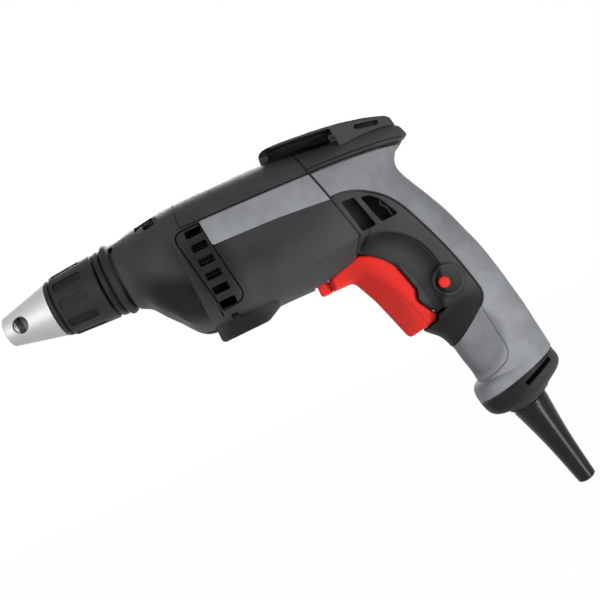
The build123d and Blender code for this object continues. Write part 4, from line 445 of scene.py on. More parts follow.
@dataclass(frozen=True)
class SidePatch(Shade):
    """Oval of painted shade on a hollow or a side, in millimetres on the tool's side view.

    It darkens from the inner share of its radius to its rim; below zero, its middle is dark too.
    """

    GROUP = "side_patch"

    centre: Pair
    half: Pair
    inner: float
    soft: float
    turn: float = 0.0
    front: float = -10.0
    rear: float = 300.0
    depth: float = 100.0

    def inputs(self) -> dict[str, float]:
        """Return the oval as inputs of its group."""
        turn = math.radians(self.turn)
        return {
            "Centre X": self.centre[0] * MM, "Centre Z": self.centre[1] * MM,
            "Half Length": self.half[0] * MM, "Half Height": self.half[1] * MM,
            "Run X": math.cos(turn), "Run Z": math.sin(turn), "Inner": self.inner, "Soft": self.soft,
            "Front": self.front * MM, "Rear": self.rear * MM, "Depth": self.depth * MM,
        }


@dataclass(frozen=True)
class FluteShade(Shade):
    """Painted shade in the flutes of a turned taper, in millimetres."""

    GROUP = "flute_shade"

    front: float
    front_radius: float
    rear: float
    rear_radius: float
    depth: float

    def inputs(self) -> dict[str, float]:
        """Return the taper as inputs of its group."""
        slope = (self.rear_radius - self.front_radius) / (self.rear - self.front)
        return {
            "Front X": self.front * MM, "Rear X": self.rear * MM, "Front Radius": self.front_radius * MM,
            "Slope": slope, "Depth": self.depth * MM,
        }


@dataclass(frozen=True)
class Finish:
    """What every finish has: its slot, colour, a rounded edge and the painted shade that darkens it."""

    slot: Slot
    colour: Colour
    edge: float = 0.35 * MM
    shine: float = 0.5
    # Share of painted shade in grooves and inner corners.
    recess_shade: float = 0.6
    reach: float = 3.0 * MM
    shades: tuple[Shade, ...] = ()

    def material(self, shelf: ShaderShelf) -> bpy.types.Material:
        """Build the finish's material.

        Args:
            shelf: The shared shader groups.

        Returns:
            The material.
        """
        bench = MaterialBench(self.slot.value, shelf, self.edge)
        bench.paint(Specular_IOR_Level=self.shine)
        self.dress(bench)
        return bench.material

    def dress(self, bench: MaterialBench) -> None:
        """Fill the shader's sockets; each kind of finish has its own way."""
        raise NotImplementedError

    def darkened(self, bench: MaterialBench, tone: Socket) -> Socket:
        """Lower a tone by painted shade in recesses and in the shade patches."""
        # Painted shade in grooves and inner corners.
        recess_shade = bench.group("recess_grime", Reach=self.reach, Hold=self.recess_shade)
        return bench.times(tone, recess_shade["Tone"], *(shade.tone(bench) for shade in self.shades))


@dataclass(frozen=True)
class Moulded(Finish):
    """Moulded plastic with mould grain, drifts of tone and light scuffs."""

    rough: Pair = (0.42, 0.58)
    grain: float = 1500.0
    grain_range: Pair = (0.35, 0.95)
    drift: float = 40.0
    depth: float = 0.03 * MM
    spread: float = 0.5
    scuff: float = 0.2
    scuff_rough: float = 0.15
    scuff_colour: Colour = (0.12, 0.12, 0.125)

    def dress(self, bench: MaterialBench) -> None:
        """Put grain in tone, roughness and relief, with scuffs over it.

        Args:
            bench: The material's bench.
        """
        grain = bench.group("moulded_grain", Grain=self.grain, Drift=self.drift, Spread=self.spread)
        scuffs = bench.group("handling_scuff", Density=self.scuff)["Mask"]
        base = bench.scaled(self.colour, self.darkened(bench, grain["Tone"]))
        rough = bench.ramp(grain["Rough"], *self.grain_range, self.rough)
        bench.paint(
            Base_Color=bench.blended(scuffs, base, self.scuff_colour),
            Roughness=bench.plus(rough, bench.times(scuffs, self.scuff_rough)),
            Normal=bench.bump(grain["Height"], self.depth),
        )


@dataclass(frozen=True)
class SoftTouch(Finish):
    """Soft over-moulded rubber with a cloudy mottle."""

    tint: Colour = (0.2, 0.215, 0.24)
    tint_share: float = 0.4
    rough: Pair = (0.54, 0.72)
    cloud: float = 110.0
    pebble: float = 1100.0
    pebble_range: Pair = (0.3, 1.0)
    depth: float = 0.05 * MM

    def dress(self, bench: MaterialBench) -> None:
        """Put mottle in colour, and pebbling in relief and roughness.

        Args:
            bench: The material's bench.
        """
        mottle = bench.group("soft_mottle", Cloud=self.cloud, Pebble=self.pebble)
        tinted = bench.blended(bench.times(mottle["Blue"], self.tint_share), self.colour, self.tint)
        bench.paint(
            Base_Color=bench.scaled(tinted, self.darkened(bench, mottle["Tone"])),
            Roughness=bench.ramp(mottle["Height"], *self.pebble_range, self.rough),
            Normal=bench.bump(mottle["Height"], self.depth),
        )


@dataclass(frozen=True)
class Machined(Finish):
    """Turned or drawn metal with fine rings and rubbed spots."""

    rough: Pair = (0.24, 0.4)
    rings: float = 2600.0
    ring_range: Pair = (0.4, 1.1)
    depth: float = 0.006 * MM
    tones: Pair = (0.9, 1.04)
    scuff: float = 0.5
    scuff_rough: float = 0.15

    def dress(self, bench: MaterialBench) -> None:
        """Put rings in tone, roughness and relief.

        Args:
            bench: The material's bench.
        """
        lines = bench.group("lathe_lines", Rings=self.rings)
        scuffs = bench.group("handling_scuff", Density=self.scuff)["Mask"]
        tone = bench.ramp(lines["Line"], *self.ring_range, self.tones)
        rough = bench.ramp(lines["Line"], *self.ring_range, self.rough)
        bench.paint(
            Base_Color=bench.scaled(self.colour, self.darkened(bench, tone)),
            Metallic=1.0,
            Roughness=bench.plus(rough, bench.times(scuffs, self.scuff_rough)),
            Normal=bench.bump(lines["Height"], self.depth),
        )


# Painted shade: these ovals and the collar's flutes darken the colour where shade falls on the finger
# channel, folds, hollows, vent panel, rail, ring, foot, motor side, under the hook, thumb dish, grip neck
# and trigger face.
FINGER_CHANNEL = SidePatch(0.8, (200.0, -70.0), (25.8, 30.2), inner=0.55, soft=0.05, front=190.0)
SHELL_CORNER = SidePatch(0.78, (229.0, -109.0), (26.0, 21.0), inner=-4.0, soft=0.3)
CASE_FOLD = SidePatch(0.84, (100.0, -28.0), (24.0, 10.0), inner=-9.0, soft=0.5, turn=-40.0, rear=106.0)
CASE_REAR = SidePatch(0.4, (108.0, -14.0), (11.0, 18.0), inner=-9.0, soft=0.6, rear=106.0)
VENT_PANEL = SidePatch(0.62, (117.0, -20.0), (13.0, 25.0), inner=-9.0, soft=0.5, front=100.0)
RAIL = SidePatch(0.74, (120.0, -53.0), (14.0, 6.0), inner=-9.0, soft=0.5)
RING = SidePatch(0.5, (67.0, 0.0), (5.0, 90.0), inner=-9.0, soft=0.1)
FOOT = SidePatch(0.74, (228.0, -148.0), (25.0, 10.0), inner=-9.0, soft=0.7, turn=14.0)
MOTOR_FACE = SidePatch(0.42, (146.0, -13.0), (44.0, 15.0), inner=-1.0, soft=0.6, front=104.0)
HOOK_HOLLOW = SidePatch(0.92, (187.0, 21.8), (28.0, 4.2), inner=-1.0, soft=0.1, turn=-6.1, rear=206.4,
                        depth=16.4)
THUMB_DISH = SidePatch(0.36, (222.5, -113.5), (19.5, 20.0), inner=-1.0, soft=0.12)
GRIP_NECK = SidePatch(0.2, (234.0, -20.0), (46.0, 56.0), inner=-9.0, soft=0.6)
TRIGGER_FACE = SidePatch(0.4, (192.2, -75.0), (25.0, 9.5), inner=-9.0, soft=0.45, turn=-73.8)
COLLAR_FLUTES = FluteShade(0.6, front=34.0, front_radius=17.4, rear=58.7, rear_radius=19.1, depth=0.75)
BODY_SHADES = (FINGER_CHANNEL, SHELL_CORNER, CASE_FOLD, CASE_REAR, VENT_PANEL, RAIL, RING, FOOT,
               MOTOR_FACE, HOOK_HOLLOW)

# In each finish, the recess share and the shades are painted shade.
FINISHES: tuple[Finish, ...] = (
    Moulded(Slot.BODY, (0.054, 0.054, 0.0545), shine=0.1, recess_shade=0.85, shades=BODY_SHADES,
            scuff_colour=(0.09, 0.09, 0.093)),
    Moulded(Slot.COLLAR, (0.022, 0.022, 0.0226), shine=0.15, recess_shade=0.85, reach=4.0 * MM,
            shades=(COLLAR_FLUTES, RING), rough=(0.36, 0.5), scuff=0.15, scuff_colour=(0.07, 0.07, 0.072)),
    SoftTouch(Slot.GRIP, (0.308, 0.314, 0.328), edge=1.0 * MM, shine=0.12, recess_shade=0.0,
              shades=(THUMB_DISH, GRIP_NECK)),
    Moulded(Slot.RED, (0.77, 0.027, 0.019), edge=1.6 * MM, shine=0.17, recess_shade=0.2, shades=(TRIGGER_FACE,),
            rough=(0.34, 0.46), spread=0.12, scuff=0.12, scuff_colour=(0.74, 0.07, 0.06)),
    Moulded(Slot.RUBBER, (0.005, 0.005, 0.0052), shine=0.22, rough=(0.24, 0.3), grain=500.0,
            depth=0.001 * MM, scuff=0.1),
    Machined(Slot.NOSE, (0.49, 0.49, 0.495), recess_shade=0.4, rough=(0.45, 0.58)),
    Machined(Slot.STEEL, (0.52, 0.52, 0.54)),
    Machined(Slot.SCREW, (0.05, 0.05, 0.053), rough=(0.4, 0.55)),
    Machined(Slot.LAMINATION, (0.28, 0.29, 0.31), rough=(0.4, 0.55), rings=2000.0, depth=0.03 * MM),
    Machined(Slot.COPPER, (0.72, 0.36, 0.19), rough=(0.28, 0.42), rings=1700.0, depth=0.08 * MM),
    Machined(Slot.BRASS, (0.75, 0.57, 0.26)),
    Machined(Slot.BRONZE, (0.6, 0.44, 0.25), rough=(0.36, 0.5)),
    Machined(Slot.CAST, (0.62, 0.63, 0.64), rough=(0.45, 0.6), rings=300.0, depth=0.03 * MM),
    # Inner plastic: its own dark colour, set darker still as painted shade, so the inside seen through
    # vents and windows reads black.
    Moulded(Slot.INNER, (0.008, 0.008, 0.0085), shine=0.12, rough=(0.5, 0.66)),
    Moulded(Slot.CARBON, (0.03, 0.03, 0.03), rough=(0.55, 0.7)),
    Machined(Slot.MAGNET, (0.5, 0.5, 0.5)),
    Moulded(Slot.CAPACITOR, (0.7, 0.5, 0.1), rough=(0.25, 0.35), scuff_colour=(0.5, 0.36, 0.08)),
)


class PaintShop:
    """Makes every finish's material and puts it on nodes and pieces."""

    def __init__(self) -> None:
        """Build the shared groups and all materials."""
        shelf = ShaderShelf()
        self.materials = {finish.slot: finish.material(shelf) for finish in FINISHES}

    def coat(self, obj: bpy.types.Object, slot: Slot) -> None:
        """Put one finish on the whole of an object."""
        obj.data.materials.clear()
        obj.data.materials.append(self.materials[slot])

    def dress(self, frame: dict) -> None:
        """Coat every CAD node by the record's slots.

        Args:
            frame: The loaded frame.
        """
        for row in frame["record"]["subparts"]:
            self.coat(frame["nodes"][row["node"]], Slot(row["material_slot"]))
            LOG.info("dressed %s in %s", row["node"], row["material_slot"])


@dataclass(frozen=True)
class Lamp:
    """A flat soft lamp, placed from the tool's middle, which it faces."""

    name: str
    place: Point
    size: Pair
    power: float

    def hang(self, middle: Vector) -> None:
        """Put the lamp in the scene.

        Args:
            middle: The tool's middle.
        """
        data = bpy.data.lights.new(self.name, "AREA")
        data.shape = "RECTANGLE"
        data.size, data.size_y = self.size
        data.energy = self.power
        lamp = bpy.data.objects.new(self.name, data)
        bpy.context.scene.collection.objects.link(lamp)
        away = Vector(self.place)
        lamp.location = middle + away
        lamp.rotation_euler = (-away).to_track_quat("-Z", "Y").to_euler()


@dataclass
class Studio:
    """Camera of the photo's view, soft light, floor and white surround."""

    aim: Point = (0.1518, 0.0, -0.05385)
    distance: float = 0.5
    roll: float = math.radians(26.0)
    lens: float = 54.5
    sensor: float = 36.0
    clip: float = 0.01
    fill: Colour = (0.97, 0.985, 1.0)
    fill_level: float = 0.14
    floor_middle: Point = (0.15, 0.0, -0.8)
    floor_half: float = 6.0
    floor_tone: Colour = (0.9, 0.9, 0.9)
    floor_white: float = 0.995
    lamps: tuple[Lamp, ...] = (
        Lamp("right_strip", (0.58, -0.8, -0.34), (0.14, 0.95), 8.6),
        Lamp("left_softbox", (-0.6, -0.8, 0.05), (0.6, 0.6), 3.4),
        Lamp("nose_panel", (-0.8, -0.56, 0.5), (0.6, 0.6), 0.6),
        Lamp("back_softbox", (0.1, 0.9, 0.52), (0.9, 0.5), 14.0),
    )

    def build(self) -> None:
        """Set up everything that isn't the tool."""
        bpy.context.scene.view_settings.view_transform = "Standard"
        self._camera()
        self._world()
        self._floor()
        for lamp in self.lamps:
            lamp.hang(Vector(self.aim))

    def _camera(self) -> None:
        """Place the camera level with its aim, turned about its own axis."""
        data = bpy.data.cameras.new("photo_camera")
        data.sensor_width = self.sensor
        data.lens = self.lens
        data.clip_start = self.clip
        camera = bpy.data.objects.new("photo_camera", data)
        bpy.context.scene.collection.objects.link(camera)
        up = Vector((math.sin(self.roll), 0.0, math.cos(self.roll)))
        turn = Matrix((BACK.cross(up), up, -BACK)).transposed().to_4x4()
        camera.matrix_world = Matrix.Translation(Vector(self.aim) - BACK * self.distance) @ turn
        bpy.context.scene.camera = camera

    @staticmethod
    def _seen(bench: NodeBench, *rays: str) -> Socket:
        """Return 1 for the named kinds of ray and 0 for others."""
        path = bench.add("ShaderNodeLightPath").outputs
        return bench.chain("MAXIMUM", *(path[ray] for ray in rays))

    @staticmethod
    def _mixed(bench: NodeBench, share: Socket, first: bpy.types.Node, second: bpy.types.Node) -> Socket:
        """Mix two shaders by the second one's share."""
        mix = bench.line_up(bench.add("ShaderNodeMixShader"), share, first.outputs[0], second.outputs[0])
        return mix.outputs[0]

    def _world(self) -> None:
        """White where the camera, gloss or glass sees it, and a soft pale fill elsewhere."""
        world = bpy.data.worlds.new("white_surround")
        bpy.context.scene.world = world
        world.use_nodes = True
        bench = NodeBench(world.node_tree)
        seen = self._seen(bench, "Is Camera Ray", "Is Transmission Ray", "Is Glossy Ray")
        white = bench.add("ShaderNodeBackground", Color=WHITE, Strength=1.0)
        fill = bench.add("ShaderNodeBackground", Color=(*self.fill, 1.0), Strength=self.fill_level)
        bench.add("ShaderNodeOutputWorld", Surface=self._mixed(bench, seen, fill, white))

    def _floor(self) -> None:
        """A wide pale floor that keeps the tool's shadow and reads white to the camera."""
        bpy.ops.object.select_all(action="DESELECT")
        bpy.ops.mesh.primitive_plane_add(size=2.0 * self.floor_half, location=self.floor_middle)
        floor = bpy.context.object
        floor.name = "studio_floor"
        material = bpy.data.materials.new("floor_white")
        material.use_nodes = True
        bench = NodeBench(material.node_tree)
        seen = self._seen(bench, "Is Camera Ray", "Is Glossy Ray")
        glow = bench.add("ShaderNodeEmission", Color=WHITE, Strength=1.0)
        paper = bench.add("ShaderNodeBsdfDiffuse", Color=(*self.floor_tone, 1.0))
        surface = self._mixed(bench, bench.times(seen, self.floor_white), paper, glow)
        bench.add("ShaderNodeOutputMaterial", Surface=surface)
        floor.data.materials.append(material)


class Kind(str, Enum):
    """Which elements of a mesh a test picks, by the name of their select mode."""

    EDGE = "EDGE"
    FACE = "FACE"


class Workbench:
    """Object and edit-mode moves on one mesh at a time, as by hand."""

    @staticmethod
    def clear() -> None:
        """Leave edit mode and deselect everything."""
        if bpy.context.object is not None and bpy.context.object.mode != "OBJECT":
            bpy.ops.object.mode_set(mode="OBJECT")
        bpy.ops.object.select_all(action="DESELECT")

    @classmethod
    def hold(cls, obj: bpy.types.Object) -> None:
        """Make one object the only selected one and the active one."""
        cls.clear()
        obj.select_set(True)
        bpy.context.view_layer.objects.active = obj

    @classmethod
    def duplicate(cls, source: bpy.types.Object, name: str) -> bpy.types.Object:
        """Copy a CAD node's mesh and merge the copy's doubled points.

        Args:
            source: The CAD node, which stays as it is.
            name: The copy's name.

        Returns:
            The copy, held.
        """
        copy = bpy.data.objects.new(name, source.data.copy())
        bpy.context.scene.collection.objects.link(copy)
        cls.hold(copy)
        bpy.ops.object.mode_set(mode="EDIT")
        bpy.ops.mesh.select_all(action="SELECT")
        bpy.ops.mesh.remove_doubles(threshold=MERGE_DISTANCE)
        bpy.ops.object.mode_set(mode="OBJECT")
        return copy

    @staticmethod
    def pick(obj: bpy.types.Object, kind: Kind, test: Callable[[Vector, Vector], bool]) -> None:
        """Select what a test accepts and stay in edit mode.

        Args:
            obj: The active mesh object.
            kind: The elements to test.
            test: Takes a face's middle and normal, or an edge's middle and run.
        """
        bpy.ops.object.mode_set(mode="EDIT")
        bpy.ops.mesh.select_mode(type=kind.value)
        bpy.ops.mesh.select_all(action="DESELECT")
        bpy.ops.object.mode_set(mode="OBJECT")
        mesh = obj.data
        if kind is Kind.FACE:
            for face in mesh.polygons:
                face.select = test(face.center, face.normal)
        else:
            for edge in mesh.edges:
                first, second = (mesh.vertices[index].co for index in edge.vertices)
                edge.select = test((first + second) / 2.0, second - first)
        bpy.ops.object.mode_set(mode="EDIT")

    @classmethod
    def modify(cls, obj: bpy.types.Object, kind: str, **settings: object) -> None:
        """Add a modifier with its settings and apply it.

        Args:
            obj: The mesh object.
            kind: The modifier's type name.
            **settings: Properties of the modifier.
        """
        cls.hold(obj)
        modifier = obj.modifiers.new(kind.lower(), kind)
        for key, value in settings.items():
            setattr(modifier, key, value)
        bpy.ops.object.modifier_apply(modifier=modifier.name)

    @classmethod
    def settle(cls, obj: bpy.types.Object) -> None:
        """Put an object's place in its mesh."""
        cls.hold(obj)
        bpy.ops.object.transform_apply(location=True, rotation=True, scale=True)


class Probe:
    """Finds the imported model's surfaces along straight lines."""

    OUTSIDE = 0.2

    def __init__(self) -> None:
        """Take the scene as it is now."""
        bpy.context.view_layer.update()
        self.graph = bpy.context.evaluated_depsgraph_get()

    def hit(self, start: Point, way: Vector) -> tuple[Vector, str] | None:
        """Look along a line.

        Args:
            start: Where the line starts.
            way: Its direction.

        Returns:
            The first surface's point and its object's name, or None.
        """
        found, spot, _, _, obj, _ = bpy.context.scene.ray_cast(self.graph, Vector(start), way)
        return (spot, obj.name) if found else None

    def side(self, x: float, z: float, side: float) -> tuple[Vector, str] | None:
        """Look at the tool's side from outside, at a place given by x and z."""
        return self.hit((x, side * self.OUTSIDE, z), -side * BACK)


@dataclass
class Fitter:
    """Finishes new pieces: name, ride, slot and finish."""

    shop: PaintShop

    def fit(self, obj: bpy.types.Object, name: str, body: Body, slot: Slot, angle: float = 35.0) -> None:
        """Hand a shaped piece over to the frame.

        Args:
            obj: The piece.
            name: Its name.
            body: The body that it rides on.
            slot: The slot that gives its finish.
            angle: Edges below this many degrees are shaded smooth.
        """
        Workbench.hold(obj)
        bpy.ops.object.shade_smooth_by_angle(angle=math.radians(angle))
        obj.name = name
        obj.data.name = name
        self.shop.coat(obj, slot)
        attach(obj, body.value)
        LOG.info("made %s on %s, %d faces", name, body.value, len(obj.data.polygons))


@dataclass
class PartingBead:
    """Dark bead along a moulding's outer edge, where it meets its neighbours, standing in for the shade in
    the parting line.
    """

    node: str
    side: float
    neighbours: tuple[str, ...]
    radius: float = 0.6 * MM
    sharp: float = math.radians(40.0)
    near: float = 0.4 * MM
    look: float = 0.8 * MM
    step: float = 0.6 * MM
    middle: float = 1.5 * MM
    looks: int = 8
    smooth: float = 80.0

    def build(self, fitter: Fitter, source: bpy.types.Object) -> None:
        """Trace the moulding's outer edge and lay the bead on it.

        Args:
            fitter: Hands the bead over.
            source: The CAD node, which is copied.
        """
        probe = Probe()
        bead = Workbench.duplicate(source, f"{self.node}_bead")
        bpy.ops.object.mode_set(mode="EDIT")
        bpy.ops.mesh.select_mode(type="EDGE")
        bpy.ops.mesh.select_all(action="DESELECT")
        bpy.ops.mesh.edges_select_sharp(sharpness=self.sharp)
        bpy.ops.object.mode_set(mode="OBJECT")
        sharp = {edge.index for edge in bead.data.edges if edge.select}
        points = bead.data.vertices
        for edge in bead.data.edges:
            first, second = (points[index].co for index in edge.vertices)
            edge.select = edge.index not in sharp or not self._outer(probe, (first + second) / 2.0)
        bpy.ops.object.mode_set(mode="EDIT")
        bpy.ops.mesh.delete(type="EDGE_FACE")
        bpy.ops.mesh.select_all(action="SELECT")
        bpy.ops.mesh.delete_loose(use_verts=True, use_edges=False, use_faces=False)
        bpy.ops.object.mode_set(mode="OBJECT")
        bpy.ops.object.convert(target="CURVE")
        line = bpy.context.object
        line.data.bevel_depth = self.radius
        line.data.bevel_resolution = 1
        line.data.use_fill_caps = True
        bpy.ops.object.convert(target="MESH")
        # The darkest finish makes the bead painted shade along the parting line.
        fitter.fit(bpy.context.object, f"{self.node}_bead", Body.HOUSING, Slot.RUBBER, self.smooth)

    def _outer(self, probe: Probe, spot: Vector) -> bool:
        """Say whether an edge lies on the outside and borders on a neighbour.

        Args:
            probe: Looks at the tool's side.
            spot: The edge's middle.

        Returns:
            True where half of the looks round the spot find its own level, and one a neighbour.
        """
        if abs(spot.y) < self.middle or spot.y * self.side < 0.0:
            return False
        close = 0
        borders = False
        for turn in range(self.looks):
            angle = turn * math.tau / self.looks
            x, z = math.cos(angle), math.sin(angle)
            inner = probe.side(spot.x + self.near * x, spot.z + self.near * z, self.side)
            outer = probe.side(spot.x + self.look * x, spot.z + self.look * z, self.side)
            close += inner is not None and abs(inner[0].y - spot.y) < self.step
            borders = borders or (outer is not None and outer[1].startswith(self.neighbours))
        return close >= self.looks / 2 and borders


@dataclass
class SoftMoulding:
    """A CAD moulding remade with the soft rounded edges that it is moulded with."""

    node: str
    body: Body
    slot: Slot
    voxel: float = 0.35 * MM
    factor: float = 0.5
    passes: int = 10
    smooth: float = 180.0

    def build(self, fitter: Fitter, source: bpy.types.Object, *extras: bpy.types.Object) -> None:
        """Copy the node, melt what belongs to it into one skin and round the skin.

        Args:
            fitter: Hands the moulding over.
            source: The CAD node, which is copied and then hidden.
            *extras: Closed meshes to melt into it.
        """
        copy = Workbench.duplicate(source, f"{self.node}_moulding")
        for extra in extras:
            extra.select_set(True)
        if extras:
            bpy.ops.object.join()
        Workbench.modify(copy, "REMESH", mode="VOXEL", voxel_size=self.voxel)
        Workbench.modify(copy, "SMOOTH", factor=self.factor, iterations=self.passes)
        fitter.fit(copy, f"{self.node}_moulding", self.body, self.slot, self.smooth)
        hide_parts(self.node)


@dataclass
class ReturnSpring:
    """A coil spring, copied from its CAD node onto the body that it rides on."""

    node: str
    body: Body
    joint: str
    axis: Point
    travel: float

    def build(self, fitter: Fitter, source: bpy.types.Object) -> None:
        """Copy the CAD coil and hand the copy over.

        Args:
            fitter: Hands the spring over.
            source: The CAD node, which is copied and then hidden.
        """
        coil = Workbench.duplicate(source, f"{self.node}_coil")
        fitter.fit(coil, f"{self.node}_coil", self.body, Slot.STEEL)
        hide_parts(self.node)
        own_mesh(coil)


@dataclass
class HookForm:
    """A ribbed sheet between the belt hook and the housing's crown below it."""

    front: float
    rear: float
    rows: int
    rib: float
    wall: float
    root: float
    columns: int = 24
    look_front: Pair = (167.2 * MM, 22.5 * MM)
    look_rear: Pair = (207.0 * MM, 19.5 * MM)

    def shape(self) -> bpy.types.Object:
        """Bring a grid to the sheet's form and give it a wall.

        Returns:
            The closed sheet.
        """
        probe = Probe()
        Workbench.clear()
        bpy.ops.mesh.primitive_grid_add(x_subdivisions=self.columns, y_subdivisions=self.rows, size=1.0)
        sheet = bpy.context.object
        for point in sheet.data.vertices:
            along, beside = point.co.x + 0.5, point.co.y + 0.5
            ridge = self.rib * (round(beside * self.rows) % 2)
            point.co = self.spot(probe, self.front + (self.rear - self.front) * along, beside, ridge)
        Workbench.modify(sheet, "SOLIDIFY", thickness=self.wall, offset=0.0)
        return sheet

    def spot(self, probe: Probe, x: float, beside: float, ridge: float) -> Point:
        """Return a grid point's place; each sheet has its own way."""
        raise NotImplementedError

    def crown(self, probe: Probe, x: float) -> float:
        """Look down from inside the gap to the housing's crown.

        Args:
            probe: Looks for the surface.
            x: Where to look.

        Returns:
            The crown's height.
        """
        share = (x - self.look_front[0]) / (self.look_rear[0] - self.look_front[0])
        height = self.look_front[1] + (self.look_rear[1] - self.look_front[1]) * share
        return probe.hit((x, 0.0, height), -UP)[0].z


@dataclass
class HookLip(HookForm):
    """Ribbed lip under the belt hook's far edge, behind the belt's way through."""

    front: float = 167.2 * MM
    rear: float = 207.0 * MM
    rows: int = 5
    rib: float = 0.5 * MM
    wall: float = 1.5 * MM
    root: float = 0.6 * MM
    drop: float = 1.7 * MM
    inset: float = 1.9 * MM
    most: float = 6.2 * MM
    roof_y: float = 13.2 * MM
    outside: float = 50.0 * MM
    above: float = 0.7 * MM

    def spot(self, probe: Probe, x: float, beside: float, ridge: float) -> Point:
        """Hang the sheet from the hook's underside, clear of the housing's crown.

        Args:
            probe: Looks for surfaces.
            x: The point's place along the tool.
            beside: Its share of the way up the lip.
            ridge: How far its rib stands out.

        Returns:
            The point.
        """
        crown = self.crown(probe, x)
        roof = min(probe.hit((x, self.roof_y, crown), UP)[0].z, crown + self.most)
        edge = probe.hit((x, self.outside, roof + self.above), -BACK)[0].y
        low = crown + self.drop
        return (x, edge - self.inset - ridge, low + (roof + self.root - low) * beside)


@dataclass
class HookPad(HookForm):
    """Lengthwise ribs under the belt hook's middle, which hold the belt."""

    front: float = 170.0 * MM
    rear: float = 204.6 * MM
    rows: int = 12
    rib: float = 0.9 * MM
    wall: float = 1.0 * MM
    root: float = 0.2 * MM
    half: float = 8.4 * MM
    start: float = 0.5 * MM

    def spot(self, probe: Probe, x: float, beside: float, ridge: float) -> Point:
        """Lay the sheet against the hook's underside.

        Args:
            probe: Looks for surfaces.
            x: The point's place along the tool.
            beside: Its share of the way across the pad.
            ridge: How far its rib hangs down.

        Returns:
            The point.
        """
        y = self.half * (2.0 * beside - 1.0)
        roof = probe.hit((x, y, self.crown(probe, x) + self.start), UP)[0].z
        return (x, y, roof + self.root - ridge)


@dataclass
class FootTray:
    """Closed dark tray behind the slot in the handle's foot, standing in for the shade inside the slot."""

    side: float
    name: str
    middle: Pair = (249.2 * MM, -143.3 * MM)
    length: float = 23.0 * MM
    width: float = 5.4 * MM
    floor: float = 9.4 * MM
    rim: float = 17.0 * MM
    turn: float = math.atan2(5.8, 16.0)
    rim_front: Pair = (241.0 * MM, 15.6 * MM)
    rim_rear: Pair = (257.0 * MM, 11.5 * MM)
    wall: float = 0.8 * MM
    corner: float = 1.2 * MM

    def build(self, fitter: Fitter) -> None:
        """Cut a block along the shell's inner wall, open it and give it a wall.

        Args:
            fitter: Hands the tray over.
        """
        Workbench.clear()
        place = (self.middle[0], self.side * (self.floor + self.rim) / 2.0, self.middle[1])
        bpy.ops.mesh.primitive_cube_add(size=1.0, location=place, rotation=(0.0, -self.turn, 0.0))
        tray = bpy.context.object
        tray.scale = (self.length, self.rim - self.floor, self.width)
        Workbench.settle(tray)
        bpy.ops.object.mode_set(mode="EDIT")
        bpy.ops.mesh.select_all(action="SELECT")
        fall = (self.rim_front[1] - self.rim_rear[1]) / (self.rim_rear[0] - self.rim_front[0])
        bpy.ops.mesh.bisect(plane_co=(self.rim_front[0], self.side * self.rim_front[1], 0.0),
                            plane_no=(fall, self.side, 0.0), clear_outer=True)
        Workbench.pick(tray, Kind.EDGE, lambda spot, run: abs(run.normalized().y) > ALONG_AXIS)
        bpy.ops.mesh.bevel(offset=self.corner, segments=3)
        Workbench.modify(tray, "SOLIDIFY", thickness=self.wall, offset=-1.0)
        # The darkest finish makes the tray painted shade inside the slot.
        fitter.fit(tray, f"foot_tray_{self.name}", Body.HOUSING, Slot.RUBBER)


@dataclass
class WindowClip:
    """Bent wire clip behind the second air window; its route is in millimetres."""

    side: float
    name: str
    route: tuple[Pair, ...] = (
        (214.4, -22.4), (212.6, -26.8), (215.2, -30.0), (215.5, -33.2), (217.4, -37.4),
    )
    shelf: Pair = (12.2 * MM, 17.8 * MM)
    wall: float = 1.0 * MM
    edge: float = 0.25 * MM

    def build(self, fitter: Fitter) -> None:
        """Extrude a strip along its route, give it a wall and round it.

        Args:
            fitter: Hands the clip over.
        """
        Workbench.clear()
        bpy.ops.mesh.primitive_plane_add(size=1.0)
        clip = bpy.context.object
        bpy.ops.object.mode_set(mode="EDIT")
        bpy.ops.mesh.select_mode(type="VERT")
        bpy.ops.mesh.select_all(action="SELECT")
        bpy.ops.mesh.merge(type="CENTER")
        first_x, first_z = self.route[0]
        bpy.ops.transform.translate(value=(first_x * MM, self.side * self.shelf[0], first_z * MM))
        for (x, z), (next_x, next_z) in zip(self.route, self.route[1:]):
            step = ((next_x - x) * MM, 0.0, (next_z - z) * MM)
            bpy.ops.mesh.extrude_vertices_move(TRANSFORM_OT_translate={"value": step})
        bpy.ops.mesh.select_all(action="SELECT")
        rise = (0.0, self.side * (self.shelf[1] - self.shelf[0]), 0.0)
        bpy.ops.mesh.extrude_edges_move(TRANSFORM_OT_translate={"value": rise})
        bpy.ops.mesh.select_all(action="SELECT")
        bpy.ops.mesh.normals_make_consistent(inside=False)
        Workbench.modify(clip, "SOLIDIFY", thickness=self.wall, offset=0.0)
        Workbench.modify(clip, "BEVEL", width=self.edge, segments=2)
        fitter.fit(clip, f"window_clip_{self.name}", Body.HOUSING, Slot.BODY)


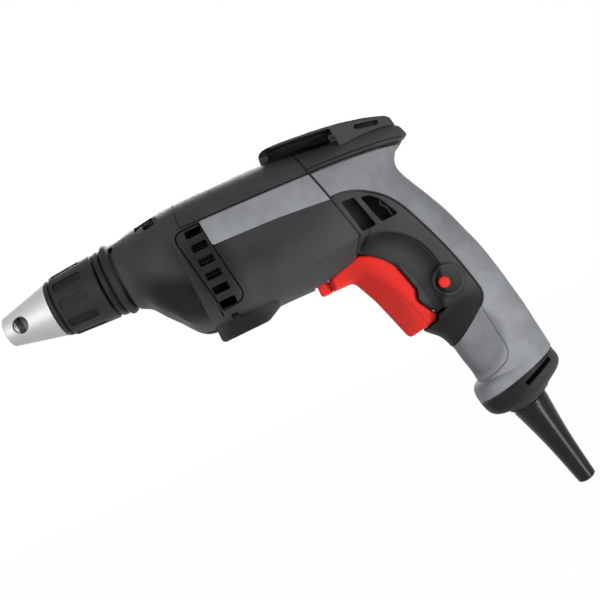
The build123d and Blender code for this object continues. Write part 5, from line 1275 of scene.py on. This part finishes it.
@dataclass
class FanScreen:
    """Pierced ring round the fan, seen through the side vents."""

    radius: float = 29.4 * MM
    wall: float = 0.8 * MM
    axis_z: float = -14.625 * MM
    bars: int = 96
    cuts: int = 5
    web: float = 0.32 * MM
    tuck: float = 0.4 * MM

    def build(self, fitter: Fitter) -> None:
        """Divide an open ring, pierce its fields and give it a wall.

        Args:
            fitter: Hands the screen over.
        """
        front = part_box("bearing_bridge")[1].x - self.tuck
        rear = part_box("air_baffle")[0].x + self.tuck
        Workbench.clear()
        bpy.ops.mesh.primitive_cylinder_add(vertices=self.bars, radius=self.radius, depth=rear - front,
                                            end_fill_type="NOTHING", rotation=(0.0, math.pi / 2.0, 0.0),
                                            location=((front + rear) / 2.0, 0.0, self.axis_z))
        ring = bpy.context.object
        Workbench.settle(ring)
        Workbench.pick(ring, Kind.EDGE, lambda spot, run: abs(run.normalized().x) > ALONG_AXIS)
        bpy.ops.mesh.subdivide(number_cuts=self.cuts)
        length = (rear - front) / (self.cuts + 1)
        Workbench.pick(ring, Kind.FACE, lambda spot, normal: front + length < spot.x < rear - length)
        bpy.ops.mesh.inset(thickness=self.web, depth=0.0, use_individual=True)
        bpy.ops.mesh.delete(type="FACE")
        Workbench.modify(ring, "SOLIDIFY", thickness=self.wall, offset=0.0)
        fitter.fit(ring, "fan_screen", Body.HOUSING, Slot.INNER)


def main() -> None:
    """Build the studio, dress the frame and make the new pieces."""
    logging.basicConfig(level=logging.INFO, format="%(message)s")
    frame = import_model()
    nodes = frame["nodes"]
    shop = PaintShop()
    shop.dress(frame)
    fitter = Fitter(shop)
    for side, name in ((-1.0, "left"), (1.0, "right")):
        for bead in (
            PartingBead(f"grip_{name}", side, ("handle_shell", "motor_housing", "band")),
            PartingBead(f"handle_shell_{name}", side, ("motor_housing", "trigger"), radius=0.42 * MM),
        ):
            bead.build(fitter, nodes[bead.node])
        FootTray(side, name).build(fitter)
        WindowClip(side, name).build(fitter)
    FanScreen().build(fitter)
    for spring in (
        ReturnSpring("clutch_spring", Body.GEAR, "spindle_push", (1.0, 0.0, 0.0), 2.4 * MM),
        ReturnSpring("trigger_spring", Body.HOUSING, "trigger_pull", (0.9925, 0.0, 0.1219), 6.5 * MM),
        ReturnSpring("lock_spring", Body.HOUSING, "lock_press", (0.0, 1.0, 0.0), 2.5 * MM),
    ):
        spring.build(fitter, nodes[spring.node])
    hook = SoftMoulding("belt_hook", Body.HOUSING, Slot.BODY)
    hook.build(fitter, nodes["belt_hook"], HookLip().shape(), HookPad().shape())
    SoftMoulding("trigger", Body.TRIGGER, Slot.RED, passes=14).build(fitter, nodes["trigger"])
    Studio().build()


if __name__ == "__main__":
    main()
